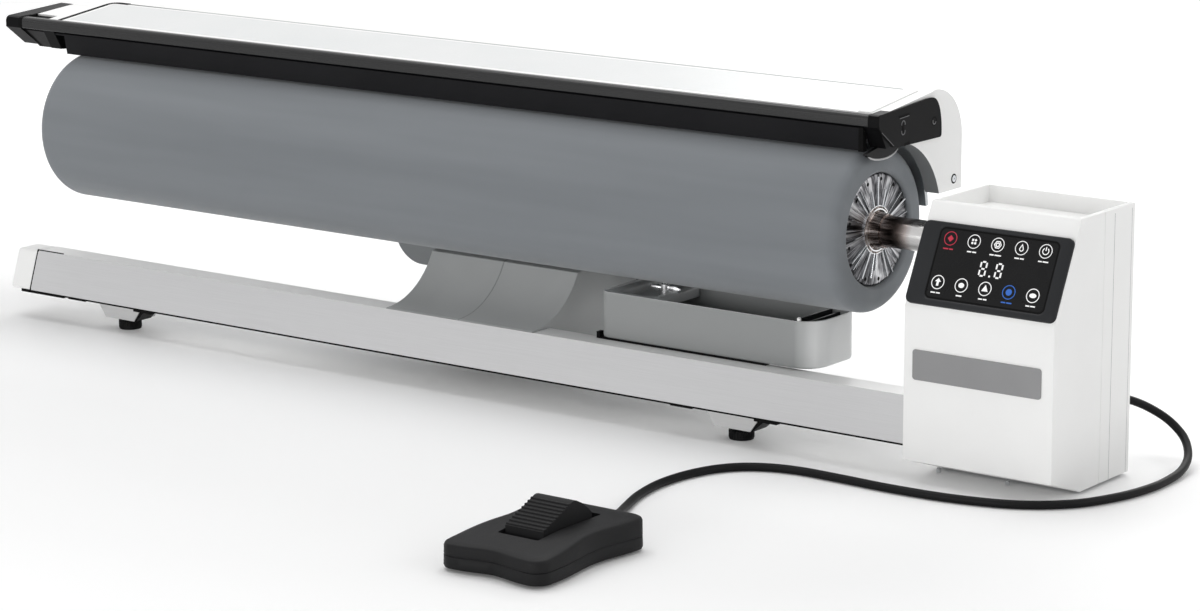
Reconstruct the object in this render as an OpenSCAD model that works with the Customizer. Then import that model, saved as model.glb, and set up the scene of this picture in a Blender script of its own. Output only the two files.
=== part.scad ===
// Flatwork ironer: a padded roller held at one end by a control box, a heated
// shoe in a tilting casing above it, a beam and pedestal below, a water tray
// and a foot pedal on its own cable. X runs along the roller towards the
// control box, Y runs from the operator to the back, Z is up from the table.
// Working places are measured from the roller's right end face (X), from the
// roller's axis (Y) and from the table (Z), then moved to the centre at once.

/* [Roller] */
// Height of the roller's axis above the table
axis_h = 212; // [208:1:225]
// Outer radius of the padded roller
roller_r = 80; // [76:1:82]
// Length of the padded roller
roller_len = 1035; // [950:5:1100]
// Thickness of the padding and its cover
pad_t = 10; // [8:0.5:12]
// Thickness of the cover where it wraps over each end
pad_lip = 6; // [4:0.5:8]
// Rounding of the padding's end corners
pad_edge_r = 9; // [5:0.5:12]
// Radius of the recess in each end
recess_r = 54.5; // [50:0.5:58]
// Wall of the roller's metal tube
core_t = 2.5; // [2:0.25:4]
// Distance of the spoked end disc behind the end face
disc_in = 11; // [9:0.5:20]
// Thickness of the spoked end disc
disc_t = 3; // [2:0.5:5]
// Number of slots in each end disc
slot_count = 24; // [16:1:28]
// Width of a slot in the end disc
slot_w = 3.2; // [2:0.2:4]
// Radius of the hub collar
hub_r = 21; // [19:0.5:24]
// Distance the hub collar stands out of the end face
hub_out = 3; // [1:0.5:6]
// Radius of the drive shaft
shaft_r = 15; // [12:0.5:16]
// Depth of the drive shaft inside the roller
shaft_in = 300; // [200:10:400]

/* [Control box] */
// Gap between the roller and the control box
box_gap = 84; // [70:1:100]
// Width of the control box
box_w = 157; // [150:1:180]
// Distance of the box's front below the panel from the roller's axis
box_front = 88; // [84:1:100]
// Distance of the top's front edge from the roller's axis
top_front = 43; // [38:1:48]
// Distance of the box's back from the roller's axis
box_back = 55; // [52:1:70]
// Height of the box's top above the roller's axis
top_rise = 45.5; // [44:0.5:55]
// Drop from the roller's axis to the foot of the slanted panel face
knee_drop = 45.7; // [40:0.5:50]
// Height of the front's lower edge above the table
toe_h = 21; // [16:1:26]
// Distance of the toe's foot from the roller's axis
toe_back = 34; // [30:1:40]
// Wall of the box shells
box_wall = 2.5; // [2:0.25:3.5]
// Height of the rubber feet under the box
box_foot_h = 3; // [2:0.5:5]
// Depth of the tray in the top
top_tray_d = 16; // [10:1:17]
// Height of the panel bezel along the slanted face
bezel_h = 79; // [76:1:84]
// Thickness of the panel bezel
bezel_t = 3.5; // [3:0.25:5]
// Width of the panel's frame left of the touch screen
screen_left = 14; // [10:0.5:18]
// Width of the panel's frame right of the touch screen
screen_right = 17; // [12:0.5:22]
// Height of the touch screen
screen_h = 65; // [55:1:68]
// Distance of the front's blank plate from the box's left side
plate_left = 10; // [6:0.5:16]
// Distance of the front's blank plate from the box's right side
plate_right = 12; // [6:0.5:18]
// Height of the blank plate on the front
plate_h = 28.5; // [24:0.5:34]

/* [Drive] */
// Tooth module of the drive gears
gear_module = 1.5; // [1.4:0.05:1.5]
// Teeth of the gear on the roller's shaft
gear_teeth = 32; // [28:4:32]
// Teeth of the motor pinion
pinion_teeth = 18; // [18:2:22]
// Width of the gear on the roller's shaft
gear_w = 14; // [10:1:18]
// Radius of the motor shaft
motor_shaft_r = 4; // [3:0.5:5]
// Outer radius of the shaft bearings
bearing_r = 21; // [19:0.5:22]
// Thickness of the bearing plates
bearing_plate_t = 8; // [6:1:10]

/* [Casing] */
// Gap between the roller and the heated shoe
shoe_gap = 6.5; // [6.5:0.25:8]
// Thickness of the heated shoe
shoe_t = 4.5; // [4:0.5:6]
// Angle from straight up to the shoe's back edge
shoe_back_deg = 84; // [78:1:86]
// Angle from straight up to the shoe's front edge
shoe_front_deg = 4; // [2:1:6]
// Distance of the casing's back from the roller's axis
casing_back = 121; // [115:1:124]
// Height of the casing's highest point above the roller's axis
casing_rise = 126; // [122:1:132]
// Radius of the casing's top back edge
casing_r = 50; // [40:1:55]
// Height of the casing's open underside above the roller's axis
casing_foot = 24; // [20:1:28]
// Sheet thickness of the casing
casing_wall = 2; // [1.5:0.25:3]
// Thickness of the casing's end plates
end_plate_t = 16; // [12:1:18]
// Thickness of the right end cap beyond its end plate
right_cap_out = 2; // [1:0.5:4]
// Distance of the left cap's outer face beyond the roller
left_reach = 92; // [85:1:100]
// Width of the left cap's outer band
left_band = 22; // [16:1:26]
// Height of the front bar
bar_h = 12; // [10:0.5:13]
// Depth of the front bar
bar_d = 9.5; // [8:0.5:10]

/* [Base] */
// Height of the beam's underside above the table
beam_z = 32; // [28:1:36]
// Height of the beam
beam_h = 42.5; // [38:0.5:44]
// Distance of the beam's lower front edge from the roller's axis
beam_front = 78; // [74:1:82]
// Depth of the beam at its bottom
beam_d = 59; // [54:1:64]
// Lean of each of the beam's long faces over its height
beam_lean = 14.5; // [10:0.5:18]
// Wall of the beam
beam_wall = 3; // [2:0.5:4]
// Distance of the beam's left end beyond the roller
beam_reach = 53; // [45:1:70]
// Length of the beam's left end cap
beam_cap_w = 30; // [20:1:40]
// Radius of a levelling foot
foot_r = 12; // [10:0.5:14]
// Height of a levelling foot's pad
foot_h = 12; // [10:0.5:14]
// Travel of a levelling foot
foot_travel = 8; // [5:1:10]
// Width of the pedestal
ped_w = 190; // [170:2:210]
// Centre of the pedestal from the roller's right end
ped_mid = 461; // [440:1:480]
// Radius of the pedestal's hollow front ramp
ramp_r = 85; // [80:1:90]
// Clearance of the pedestal's cradle from the roller
cradle_gap = 10; // [8:1:14]
// Drop from the roller's axis to the pedestal's top
ped_drop = 32; // [28:1:42]
// Wall of the pedestal shells
ped_wall = 3; // [2:0.5:4]

/* [Rear housing] */
// Width of the rear housing
rear_w = 458; // [400:2:500]
// Depth of the rear housing
rear_d = 48; // [44:1:54]
// Radius of the rear housing's corners
rear_r = 38; // [30:1:44]
// Wall of the rear housing
rear_wall = 2.5; // [2:0.25:3.5]

/* [Water tray] */
// Length of the water tray
tray_l = 254; // [220:1:260]
// Depth of the water tray front to back
tray_d = 80; // [70:1:84]
// Distance of the tray's front from the roller's axis
tray_front = 43; // [38:1:46]
// Clearance between the tray's rim and the roller
tray_gap = 9; // [4:1:12]
// Radius of the tray's upright corners
tray_r = 18; // [12:1:24]
// Wall of the water tray
tray_wall = 2; // [1.5:0.25:3]

/* [Foot pedal] */
// Width of the foot pedal
pedal_w = 112; // [105:1:118]
// Length of the foot pedal
pedal_l = 155; // [145:1:165]
// Height of the foot pedal's body
pedal_h = 31; // [28:1:34]
// Width of the rocker
rocker_w = 41; // [36:1:46]
// Length of the rocker
rocker_l = 68; // [60:1:76]
// Number of ribs on the rocker
rib_count = 9; // [6:1:11]
// Diameter of the pedal's cable
cable_d = 8; // [7:0.5:9]

/* [Hidden] */
$fn = 64;
// One overrun for every cut
cut = 1;
// Running clearance of shafts and stems
run_gap = 0.05;
// Seating clearance between fitted pieces
fit_gap = 0.2;

// Places along X
box_x0 = box_gap;
box_x1 = box_gap + box_w;
left_x = -roller_len - left_reach;
beam_cap_x = -roller_len - beam_reach;
beam_x0 = beam_cap_x + beam_cap_w;
left_block_w = 34;
left_plate_x0 = left_x + left_band + left_block_w;
left_plate_x1 = left_plate_x0 + end_plate_t;
ped_x0 = -ped_mid - ped_w / 2;
ped_x1 = -ped_mid + ped_w / 2;
rear_x0 = -ped_mid - rear_w / 2;

// Places along Y
ped_back_in = 9;
ped_back = casing_back - ped_back_in;
rear_y1 = ped_back + rear_d;
pedal_back = -405;
pedal_front = pedal_back - pedal_l;
pedal_mid = -28;
mid_x = (left_x + box_x1) / 2;
mid_y = (pedal_front + rear_y1) / 2;

// Heights above the table
ped_top = axis_h - ped_drop;

// Colours
white = "#f2f2f0";
beam_grey = "#c9c9c7";
ped_grey = "#a9abab";
black = "#262626";
steel = "#9a9ca0";
chrome_c = "#c6c8cc";

// Moves a piece from the working places to the part's own centre
module place() {
    translate([-mid_x, -mid_y, 0]) children();
}

// A cylinder along X, from x0 to x1, at the given Y and Z
module rod_x(x0, x1, y, z, r) {
    translate([x0, y, z]) rotate([0, 90, 0]) cylinder(h = x1 - x0, r = r);
}

// An outline in Y and Z, extruded along X from x0 to x1
module slab_x(x0, x1, outline) {
    translate([x0, 0, 0]) rotate([90, 0, 90]) linear_extrude(height = x1 - x0) polygon(outline);
}

// Points along an arc in degrees, from straight up, positive towards the back
function arc_up(cy, cz, r, from, to, steps) =
    [for (i = [0:steps]) let (a = from + (to - from) * i / steps) [cy + r * sin(a), cz + r * cos(a)]];

// A box between two corners
module block(a, b) {
    translate(a) cube(b - a);
}

// A rectangle with round corners, from its lower corner
module round_rect(w, h, r) {
    translate([r, 0]) square([w - 2 * r, h]);
    translate([0, r]) square([w, h - 2 * r]);
    for (x = [r, w - r], y = [r, h - r]) translate([x, y]) circle(r = r);
}

// Roller: padding, tube, discs and shaft
core_out = roller_r - pad_t;
core_in = core_out - core_t;
slot_margin = 3;
slot_r0 = hub_r + slot_margin;
slot_r1 = recess_r - slot_margin;
bulkhead_t = 6;
bulkhead_hole_r = 7;
bulkhead_holes = 6;
hub_nose_l = 6;

module roller_profile() {
    difference() {
        union() {
            square([roller_r - pad_edge_r, roller_len]);
            translate([0, pad_edge_r]) square([roller_r, roller_len - 2 * pad_edge_r]);
            for (y = [pad_edge_r, roller_len - pad_edge_r])
                translate([roller_r - pad_edge_r, y]) circle(r = pad_edge_r);
        }
        translate([-cut, -cut]) square([recess_r + cut, roller_len + 2 * cut]);
        translate([-cut, pad_lip]) square([core_out + cut, roller_len - 2 * pad_lip]);
    }
}

module roller_padding() {
    color("#7c8083") place() translate([-roller_len, 0, axis_h]) rotate([0, 90, 0])
        rotate_extrude($fn = 96) roller_profile();
}

module roller_core() {
    color(steel) place() difference() {
        rod_x(pad_lip - roller_len, -pad_lip, 0, axis_h, core_out);
        rod_x(-roller_len, 0, 0, axis_h, core_in);
    }
}

// A slotted disc with its back at x, bored for the shaft
module spoked_disc(x) {
    difference() {
        rod_x(x, x + disc_t, 0, axis_h, core_in);
        rod_x(x - cut, x + disc_t + cut, 0, axis_h, shaft_r);
        translate([x - cut, 0, axis_h]) for (i = [0:slot_count - 1]) rotate([i * 360 / slot_count, 0, 0])
            translate([0, slot_r0, -slot_w / 2]) cube([disc_t + 2 * cut, slot_r1 - slot_r0, slot_w]);
    }
}

module right_end_disc() {
    color(chrome_c) place() spoked_disc(-disc_in - disc_t);
}

module left_end_disc() {
    color(chrome_c) place() union() {
        spoked_disc(disc_in - roller_len);
        rod_x(disc_in - roller_len, disc_in + disc_t - roller_len, 0, axis_h, slot_r0 - slot_w / 2);
    }
}

module inner_bulkhead() {
    color(steel) place() difference() {
        rod_x(-shaft_in, bulkhead_t - shaft_in, 0, axis_h, core_in);
        rod_x(-shaft_in - cut, bulkhead_t + cut - shaft_in, 0, axis_h, shaft_r);
        for (i = [0:bulkhead_holes - 1])
            translate([-shaft_in - cut, 0, axis_h]) rotate([i * 360 / bulkhead_holes, 0, 0])
            translate([0, (core_in + shaft_r) / 2, 0]) rotate([0, 90, 0])
            cylinder(h = bulkhead_t + 2 * cut, r = bulkhead_hole_r);
    }
}

module hub_collar() {
    color(chrome_c) place() difference() {
        union() {
            rod_x(-disc_in, hub_out, 0, axis_h, hub_r);
            rod_x(hub_out, hub_out + hub_nose_l, 0, axis_h, (hub_r + shaft_r) / 2);
        }
        rod_x(-disc_in - cut, hub_out + hub_nose_l + cut, 0, axis_h, shaft_r);
    }
}

// Drive: the pieces on the shaft inside the control box
plate_in = 7;
gear_before = 14;
gear_after = 22;
plate_a_x = box_x0 + plate_in;
gear_x0 = plate_a_x + bearing_plate_t + gear_before;
plate_b_x = gear_x0 + gear_w + gear_after;
shaft_end = plate_b_x + bearing_plate_t;
centre_dist = gear_module * (gear_teeth + pinion_teeth) / 2;
motor_z = axis_h - centre_dist;
pressure = 20;
backlash = gear_module / 10;

module drive_shaft() {
    color(chrome_c) place() rod_x(-shaft_in, shaft_end, 0, axis_h, shaft_r);
}

// Half the angle of a tooth at radius r, in degrees
function involute(a) = tan(a) * 180 / PI - a;
function half_tooth(teeth, r) = let (
    pitch_r = gear_module * teeth / 2,
    base_r = pitch_r * cos(pressure),
    at_r = max(r, base_r)
) 90 / teeth - backlash / 2 / pitch_r * 180 / PI + involute(pressure) - involute(acos(base_r / at_r));
root_share = 1.25;
flank_steps = 4;
first_step_share = 0.02;
function tooth_radii(teeth) = let (
    pitch_r = gear_module * teeth / 2,
    low = pitch_r - root_share * gear_module,
    base_r = max(low, pitch_r * cos(pressure)),
    tip = pitch_r + gear_module
) concat([low], [for (i = [0:flank_steps])
    base_r + (tip - base_r) * (i + (i == 0 ? first_step_share : 0)) / flank_steps]);
function gear_outline(teeth) = let (radii = tooth_radii(teeth)) [for (k = [0:teeth - 1])
    each concat(
        [for (r = radii) let (a = k * 360 / teeth - half_tooth(teeth, r)) [r * cos(a), r * sin(a)]],
        [for (j = [len(radii) - 1:-1:0]) let (r = radii[j], a = k * 360 / teeth + half_tooth(teeth, r))
            [r * cos(a), r * sin(a)]])];

module gear(x0, w, z, teeth, bore_r, turn) {
    translate([x0, 0, z]) rotate([0, 90, 0]) rotate([0, 0, turn]) difference() {
        linear_extrude(height = w) polygon(gear_outline(teeth));
        translate([0, 0, -cut]) cylinder(h = w + 2 * cut, r = bore_r);
    }
}

module shaft_gear() {
    color("#d8d2bf") place() gear(gear_x0, gear_w, axis_h, gear_teeth, shaft_r, 0);
}

module motor_pinion() {
    color("#b59a5b") place() gear(gear_x0 - cut, gear_w + 2 * cut, motor_z, pinion_teeth,
        motor_shaft_r, pinion_teeth % 2 == 0 ? 180 / pinion_teeth : 0);
}

gearbox_r = 20;
gearbox_l = 30;
motor_r = 17;
motor_side = 16.5;
motor_l = box_x1 - box_wall - motor_side - shaft_end - gearbox_l;
motor_shaft_l = 16;

module motor_shaft() {
    color(steel) place() rod_x(gear_x0 - 2 * cut, shaft_end + motor_shaft_l, 0, motor_z, motor_shaft_r);
}

module gear_motor() {
    color("#6d7075") place() difference() {
        union() {
            rod_x(shaft_end, shaft_end + gearbox_l, 0, motor_z, gearbox_r);
            rod_x(shaft_end + gearbox_l, shaft_end + gearbox_l + motor_l, 0, motor_z, motor_r);
        }
        rod_x(shaft_end - cut, shaft_end + motor_shaft_l + cut, 0, motor_z, motor_shaft_r + run_gap);
    }
}

base_t = 3;
base_top = box_foot_h + base_t;
plate_rim = 4;
plate_side = 11;
plate_toe_gap = 6;
plate_top = axis_h + bearing_r + plate_rim;
motor_hole_r = 8;

// An upright plate on the box's base that holds one bearing
module bearing_plate(x) {
    difference() {
        block([x, plate_toe_gap - toe_back, base_top],
            [x + bearing_plate_t, bearing_r + plate_side, plate_top]);
        rod_x(x - cut, x + bearing_plate_t + cut, 0, axis_h, bearing_r);
        rod_x(x - cut, x + bearing_plate_t + cut, 0, motor_z, motor_hole_r);
    }
}

module bearing_plate_left() {
    color(steel) place() bearing_plate(plate_a_x);
}

module bearing_plate_right() {
    color(steel) place() bearing_plate(plate_b_x);
}

module bearing(x) {
    difference() {
        rod_x(x, x + bearing_plate_t, 0, axis_h, bearing_r);
        rod_x(x - cut, x + bearing_plate_t + cut, 0, axis_h, shaft_r + run_gap);
    }
}

module bearing_left() {
    color(chrome_c) place() bearing(plate_a_x);
}

module bearing_right() {
    color(chrome_c) place() bearing(plate_b_x);
}

// Control box shells
box_top = axis_h + top_rise;
knee_h = axis_h - knee_drop;
slant = atan((box_front - top_front) / (box_top - knee_h));
wall_y = box_wall / cos(slant);
knee_in = knee_h + (box_wall - wall_y) / tan(slant);
box_outline = [[-box_front, toe_h], [-box_front, knee_h], [-top_front, box_top],
    [box_back, box_top], [box_back, box_foot_h], [-toe_back, box_foot_h]];
box_inside = [[box_wall - box_front, toe_h + box_wall], [box_wall - box_front, knee_in],
    [wall_y - top_front + cut * tan(slant), box_top + cut], [box_back - box_wall, box_top + cut],
    [box_back - box_wall, box_foot_h - cut], [box_wall - toe_back, box_foot_h - cut],
    [box_wall - toe_back, box_foot_h + box_wall]];
shaft_hole_gap = 4;
shaft_hole_r = shaft_r + shaft_hole_gap;
inlet_in = 36;
inlet_x = box_x0 + inlet_in;
inlet_z = 40;
inlet_w = 28;
inlet_h = 21;
gland_in = 36;
gland_x = box_x1 - gland_in;
gland_z = 62;
gland_r = 7;

module box_hull() {
    difference() {
        slab_x(box_x0, box_x1, box_outline);
        slab_x(box_x0 + box_wall, box_x1 - box_wall, box_inside);
        rod_x(box_x0 - cut, box_x0 + box_wall + cut, 0, axis_h, shaft_hole_r);
    }
}

// Everything on one side of the seam that runs through the shaft's axis
module half_space(side) {
    reach = box_front + box_back;
    translate([box_x0 - cut, side > 0 ? 0 : -reach, 0]) cube([box_w + 2 * cut, reach, box_top + cut]);
}

// Places children on the slanted face: X along the box, Y up the slant, Z out of it
module on_slant() {
    translate([0, -box_front, knee_h]) rotate([90 - slant, 0, 0]) children();
}

bezel_edge = 0.5;
bezel_y0 = 3;
bezel_corner = 5;
screen_up = 6;
screen_w = box_w - screen_left - screen_right;
screen_x0 = box_x0 + screen_left;
screen_y0 = bezel_y0 + screen_up;
window_in = 8;

module box_front_shell() {
    color(white) place() difference() {
        intersection() {
            box_hull();
            half_space(-1);
        }
        on_slant() translate([screen_x0 + window_in, screen_y0 + window_in, -box_wall - cut])
            cube([screen_w - 2 * window_in, screen_h - 2 * window_in, box_wall + 2 * cut]);
    }
}

module box_rear_shell() {
    color(white) place() difference() {
        intersection() {
            box_hull();
            half_space(1);
        }
        block([inlet_x, box_back - box_wall - cut, inlet_z],
            [inlet_x + inlet_w, box_back + cut, inlet_z + inlet_h]);
        translate([gland_x, box_back - box_wall - cut, gland_z]) rotate([-90, 0, 0])
            cylinder(h = box_wall + 2 * cut, r = gland_r);
    }
}

module box_base() {
    color(steel) place() block([box_x0 + box_wall + fit_gap, box_wall - toe_back + fit_gap, box_foot_h],
        [box_x1 - box_wall - fit_gap, box_back - box_wall - fit_gap, base_top]);
}

box_foot_r = 8;
box_foot_in = 15;

module box_feet() {
    color(black) place()
        for (x = [box_x0 + box_foot_in, box_x1 - box_foot_in], y = [-toe_back / 2, box_back - box_foot_in])
        translate([x, y, 0]) cylinder(h = box_foot_h, r = box_foot_r);
}

tray_floor_z = box_top - top_tray_d;
top_tray_wall = 1.8;
top_tray_x0 = box_x0 + box_wall + fit_gap;
top_tray_x1 = box_x1 - box_wall - fit_gap;
top_tray_y0 = wall_y - top_front + fit_gap;
top_tray_y1 = box_back - box_wall - fit_gap;

module top_tray() {
    color(white) place() difference() {
        block([top_tray_x0, top_tray_y0, tray_floor_z - top_tray_wall], [top_tray_x1, top_tray_y1, box_top]);
        block([top_tray_x0 + top_tray_wall, top_tray_y0 + top_tray_wall, tray_floor_z],
            [top_tray_x1 - top_tray_wall, top_tray_y1 - top_tray_wall, box_top + cut]);
    }
}

module panel_bezel() {
    color("#3a3b3d") place() on_slant() difference() {
        translate([box_x0 + bezel_edge, bezel_y0, 0]) linear_extrude(height = bezel_t)
            round_rect(box_w - 2 * bezel_edge, bezel_h, bezel_corner);
        translate([screen_x0 - fit_gap, screen_y0 - fit_gap, -cut])
            cube([screen_w + 2 * fit_gap, screen_h + 2 * fit_gap, bezel_t + 2 * cut]);
    }
}

screen_sink = 0.6;

module touch_screen() {
    color("#141416") place() on_slant() translate([screen_x0, screen_y0, 0])
        cube([screen_w, screen_h, bezel_t - screen_sink]);
}

front_plate_t = 1;
front_plate_drop = 40;

module front_plate() {
    color("#8c8d8e") place() block(
        [box_x0 + plate_left, -box_front - front_plate_t, knee_h - front_plate_drop - plate_h],
        [box_x1 - plate_right, -box_front, knee_h - front_plate_drop]);
}

board_in = 16;
board_x0 = box_x0 + board_in;
board_w = box_w - 2 * board_in;
board_z0 = 72;
board_h = 70;
board_t = 1.6;
board_edge = 6;
standoff_l = 8;
standoff_r = 2.5;
board_y1 = box_back - box_wall - standoff_l;
board_part_d = 6;
part_up = 13;
transformer_share = 0.096;
transformer_w_share = 0.24;
transformer_h = 34;
relay_share = 0.432;
relay_step_share = 0.16;
relay_w_share = 0.112;
relay_h = 26;

// A part on the board's front face, its place and width as shares of the board's width
module board_part(from, wide, h) {
    block([board_x0 + board_w * from, board_y1 - board_t - board_part_d, board_z0 + part_up],
        [board_x0 + board_w * (from + wide), board_y1 - board_t, board_z0 + part_up + h]);
}

// The board stands off the rear shell and carries a transformer and relays
module main_board() {
    color("#2e6b45") place() union() {
        block([board_x0, board_y1 - board_t, board_z0], [board_x0 + board_w, board_y1, board_z0 + board_h]);
        for (x = [board_x0 + board_edge, board_x0 + board_w - board_edge])
            for (z = [board_z0 + board_edge, board_z0 + board_h - board_edge])
                translate([x, board_y1, z]) rotate([-90, 0, 0]) cylinder(h = standoff_l, r = standoff_r);
        board_part(transformer_share, transformer_w_share, transformer_h);
        for (i = [0:2]) board_part(relay_share + relay_step_share * i, relay_w_share, relay_h);
    }
}

inlet_d = 20;
inlet_lip = 3;
inlet_wall = 2;
pin_w = 2;
pin_h = 4;
pin_step = 7;
pin_drop = 2;
pin_short = 5;

module power_inlet() {
    color(black) place() difference() {
        union() {
            block([inlet_x + fit_gap, box_back - inlet_d, inlet_z + fit_gap],
                [inlet_x + inlet_w - fit_gap, box_back, inlet_z + inlet_h - fit_gap]);
            block([inlet_x - inlet_lip, box_back, inlet_z - inlet_lip],
                [inlet_x + inlet_w + inlet_lip, box_back + inlet_wall, inlet_z + inlet_h + inlet_lip]);
        }
        difference() {
            block([inlet_x + inlet_wall, box_back - inlet_d + inlet_wall * 2, inlet_z + inlet_wall],
                [inlet_x + inlet_w - inlet_wall, box_back + inlet_wall + cut,
                inlet_z + inlet_h - inlet_wall]);
            for (i = [-1:1]) translate([inlet_x + inlet_w / 2 + i * pin_step, box_back - inlet_d,
                inlet_z + inlet_h / 2 - abs(i) * pin_drop])
                translate([-pin_w / 2, 0, -pin_h / 2]) cube([pin_w, inlet_d - pin_short, pin_h]);
        }
    }
}

gland_l = 12;
gland_nut_r = 11;
gland_nut_l = 6;

// The gland goes through the rear shell, with a nut on each side
module pedal_gland() {
    color(black) place() translate([gland_x, box_back, gland_z]) rotate([-90, 0, 0]) difference() {
        union() {
            translate([0, 0, -box_wall - gland_nut_l])
                cylinder(h = gland_nut_l + box_wall, r = gland_r - fit_gap);
            translate([0, 0, -box_wall - gland_nut_l]) cylinder(h = gland_nut_l, r = gland_nut_r, $fn = 6);
            cylinder(h = gland_nut_l, r = gland_nut_r, $fn = 6);
            cylinder(h = gland_l, r = gland_r);
        }
        translate([0, 0, gland_l / 2]) cylinder(h = gland_l, r = cable_d / 2);
    }
}

// Base: beam, brackets, levelling feet and pedestal
beam_top = beam_z + beam_h;
beam_back = beam_d - beam_front;
lean_share = beam_lean / beam_h;
skew = beam_wall * sqrt(1 + lean_share * lean_share);
beam_outline = [[-beam_front, beam_z], [beam_lean - beam_front, beam_top],
    [beam_back - beam_lean, beam_top], [beam_back, beam_z]];
beam_inside = [[skew + beam_wall * lean_share - beam_front, beam_z + beam_wall],
    [skew + beam_lean - beam_wall * lean_share - beam_front, beam_top - beam_wall],
    [beam_back - beam_lean + beam_wall * lean_share - skew, beam_top - beam_wall],
    [beam_back - beam_wall * lean_share - skew, beam_z + beam_wall]];

module base_beam() {
    color(beam_grey) place() difference() {
        slab_x(beam_x0, box_x0, beam_outline);
        slab_x(beam_x0 - cut, box_x0 + cut, beam_inside);
    }
}

cap_plug = 25;

module beam_end_cap() {
    color(white) place() union() {
        slab_x(beam_cap_x, beam_x0, beam_outline);
        slab_x(beam_x0, beam_x0 + cap_plug, beam_inside);
    }
}

foot_shift = 3.5;
front_foot_y = beam_d / 2 - beam_front + foot_shift;
front_foot_shares = [0.906, 0.121];
front_foot_xs = [for (s = front_foot_shares) -s * roller_len];
stem_r = 4;
stem_grip = 7;
stem_l = foot_travel + stem_grip;
foot_pad_share = 0.65;
foot_neck_share = 0.75;
bracket_top = 70;
bracket_foot = 42;
bracket_d = 32;
foot_gap = 0.4;
bracket_z = foot_h + foot_gap;

module foot_brackets() {
    color(beam_grey) place() for (x = front_foot_xs) difference() {
        translate([x, front_foot_y + bracket_d / 2, 0]) rotate([90, 0, 0]) linear_extrude(height = bracket_d)
            polygon([[-bracket_foot / 2, bracket_z], [bracket_foot / 2, bracket_z],
                [bracket_top / 2, beam_z], [-bracket_top / 2, beam_z]]);
        translate([x, front_foot_y, 0]) cylinder(h = beam_z - beam_wall, r = stem_r);
    }
}

// A levelling foot: pad with a neck, and the stem that runs in its bracket
module levelling_foot(x, y) {
    translate([x, y, 0]) union() {
        cylinder(h = foot_h * foot_pad_share, r = foot_r);
        cylinder(h = foot_h, r = foot_r * foot_neck_share);
        cylinder(h = foot_h + stem_l, r = stem_r - run_gap);
    }
}

rear_bar_half = 180;
rear_bar_in = 6;
rear_bar_d = 30;
rear_bar_y0 = ped_back + rear_bar_in;
rear_bar_y1 = rear_bar_y0 + rear_bar_d;
rear_foot_y = (rear_bar_y0 + rear_bar_y1) / 2;
rear_foot_in = 20;
rear_foot_xs = [rear_foot_in - ped_mid - rear_bar_half, rear_bar_half - ped_mid - rear_foot_in];

module left_front_foot() {
    color(black) place() levelling_foot(front_foot_xs[0], front_foot_y);
}

module right_front_foot() {
    color(black) place() levelling_foot(front_foot_xs[1], front_foot_y);
}

module left_rear_foot() {
    color(black) place() levelling_foot(rear_foot_xs[0], rear_foot_y);
}

module right_rear_foot() {
    color(black) place() levelling_foot(rear_foot_xs[1], rear_foot_y);
}

module rear_foot_bar() {
    color(beam_grey) place() difference() {
        block([-ped_mid - rear_bar_half, rear_bar_y0, bracket_z],
            [rear_bar_half - ped_mid, rear_bar_y1, beam_z]);
        for (x = rear_foot_xs) translate([x, rear_foot_y, 0]) cylinder(h = beam_z - beam_wall, r = stem_r);
    }
}

rear_lift = 4.5;
rear_z0 = beam_top + rear_lift;
ramp_seat = 1.5;
cradle_r = roller_r + cradle_gap;
ramp_end_deg = 61;
hollow_start_deg = 159;
down_deg = 180;
cradle_front = 12;
step_over = 2;
step_y = rear_bar_y1 + step_over;

// The pedestal's outline from the side, taken in by the given distance
function ped_outline(inset) = concat(
    inset > 0 ? [] : [[beam_lean - beam_front, beam_top]],
    arc_up(beam_lean - beam_front, beam_top + ramp_seat + ramp_r, ramp_r + inset,
        inset > 0 ? hollow_start_deg : down_deg, down_deg - ramp_end_deg, 12),
    arc_up(0, axis_h, cradle_r + inset, down_deg - asin((cradle_front + inset) / (cradle_r + inset)),
        down_deg - acos((ped_drop + inset) / (cradle_r + inset)), 12),
    [[ped_back - inset, ped_top - inset], [ped_back - inset, rear_z0 - inset],
    [step_y - inset, rear_z0 - inset],
    [step_y - inset, beam_z + inset], [beam_back + inset, beam_z + inset],
    [beam_back - beam_lean + inset, beam_top + inset]]);

module pedestal_half(x0, x1, wall_at_left) {
    difference() {
        slab_x(x0, x1, ped_outline(0));
        slab_x(wall_at_left ? x0 + ped_wall : x0 - cut, wall_at_left ? x1 + cut : x1 - ped_wall,
            ped_outline(ped_wall));
    }
}

module pedestal_left_shell() {
    color(ped_grey) place() pedestal_half(ped_x0, -ped_mid, true);
}

module pedestal_right_shell() {
    color(ped_grey) place() pedestal_half(-ped_mid, ped_x1, false);
}

// Hinge between pedestal and casing
hinge_in = 13;
hinge_up = 20;
hinge_y = ped_back - hinge_in;
hinge_z = ped_top + hinge_up;
lug_r = 10;
lug_t = 12;
pin_r = 5;
bracket_plate_t = 4;
lug_in = 16;
arm_gap = 2;
arm_half = 7;
arm_in = lug_in + lug_t + arm_gap;
bracket_plate_d = 24;
pin_over = 3;

module hinge_bracket() {
    color(steel) place() difference() {
        union() {
            block([ped_x0 + lug_in, ped_back - cut - bracket_plate_d, ped_top],
                [ped_x1 - lug_in, ped_back - cut, ped_top + bracket_plate_t]);
            for (x = [ped_x0 + lug_in, ped_x1 - lug_in - lug_t]) {
                block([x, hinge_y - lug_r, ped_top], [x + lug_t, hinge_y + lug_r, hinge_z]);
                rod_x(x, x + lug_t, hinge_y, hinge_z, lug_r);
            }
        }
        rod_x(ped_x0, ped_x1, hinge_y, hinge_z, pin_r);
    }
}

module hinge_pin() {
    color(chrome_c) place()
        rod_x(ped_x0 + lug_in - pin_over, ped_x1 - lug_in + pin_over, hinge_y, hinge_z, pin_r);
}

casing_foot_z = axis_h + casing_foot;

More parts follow.
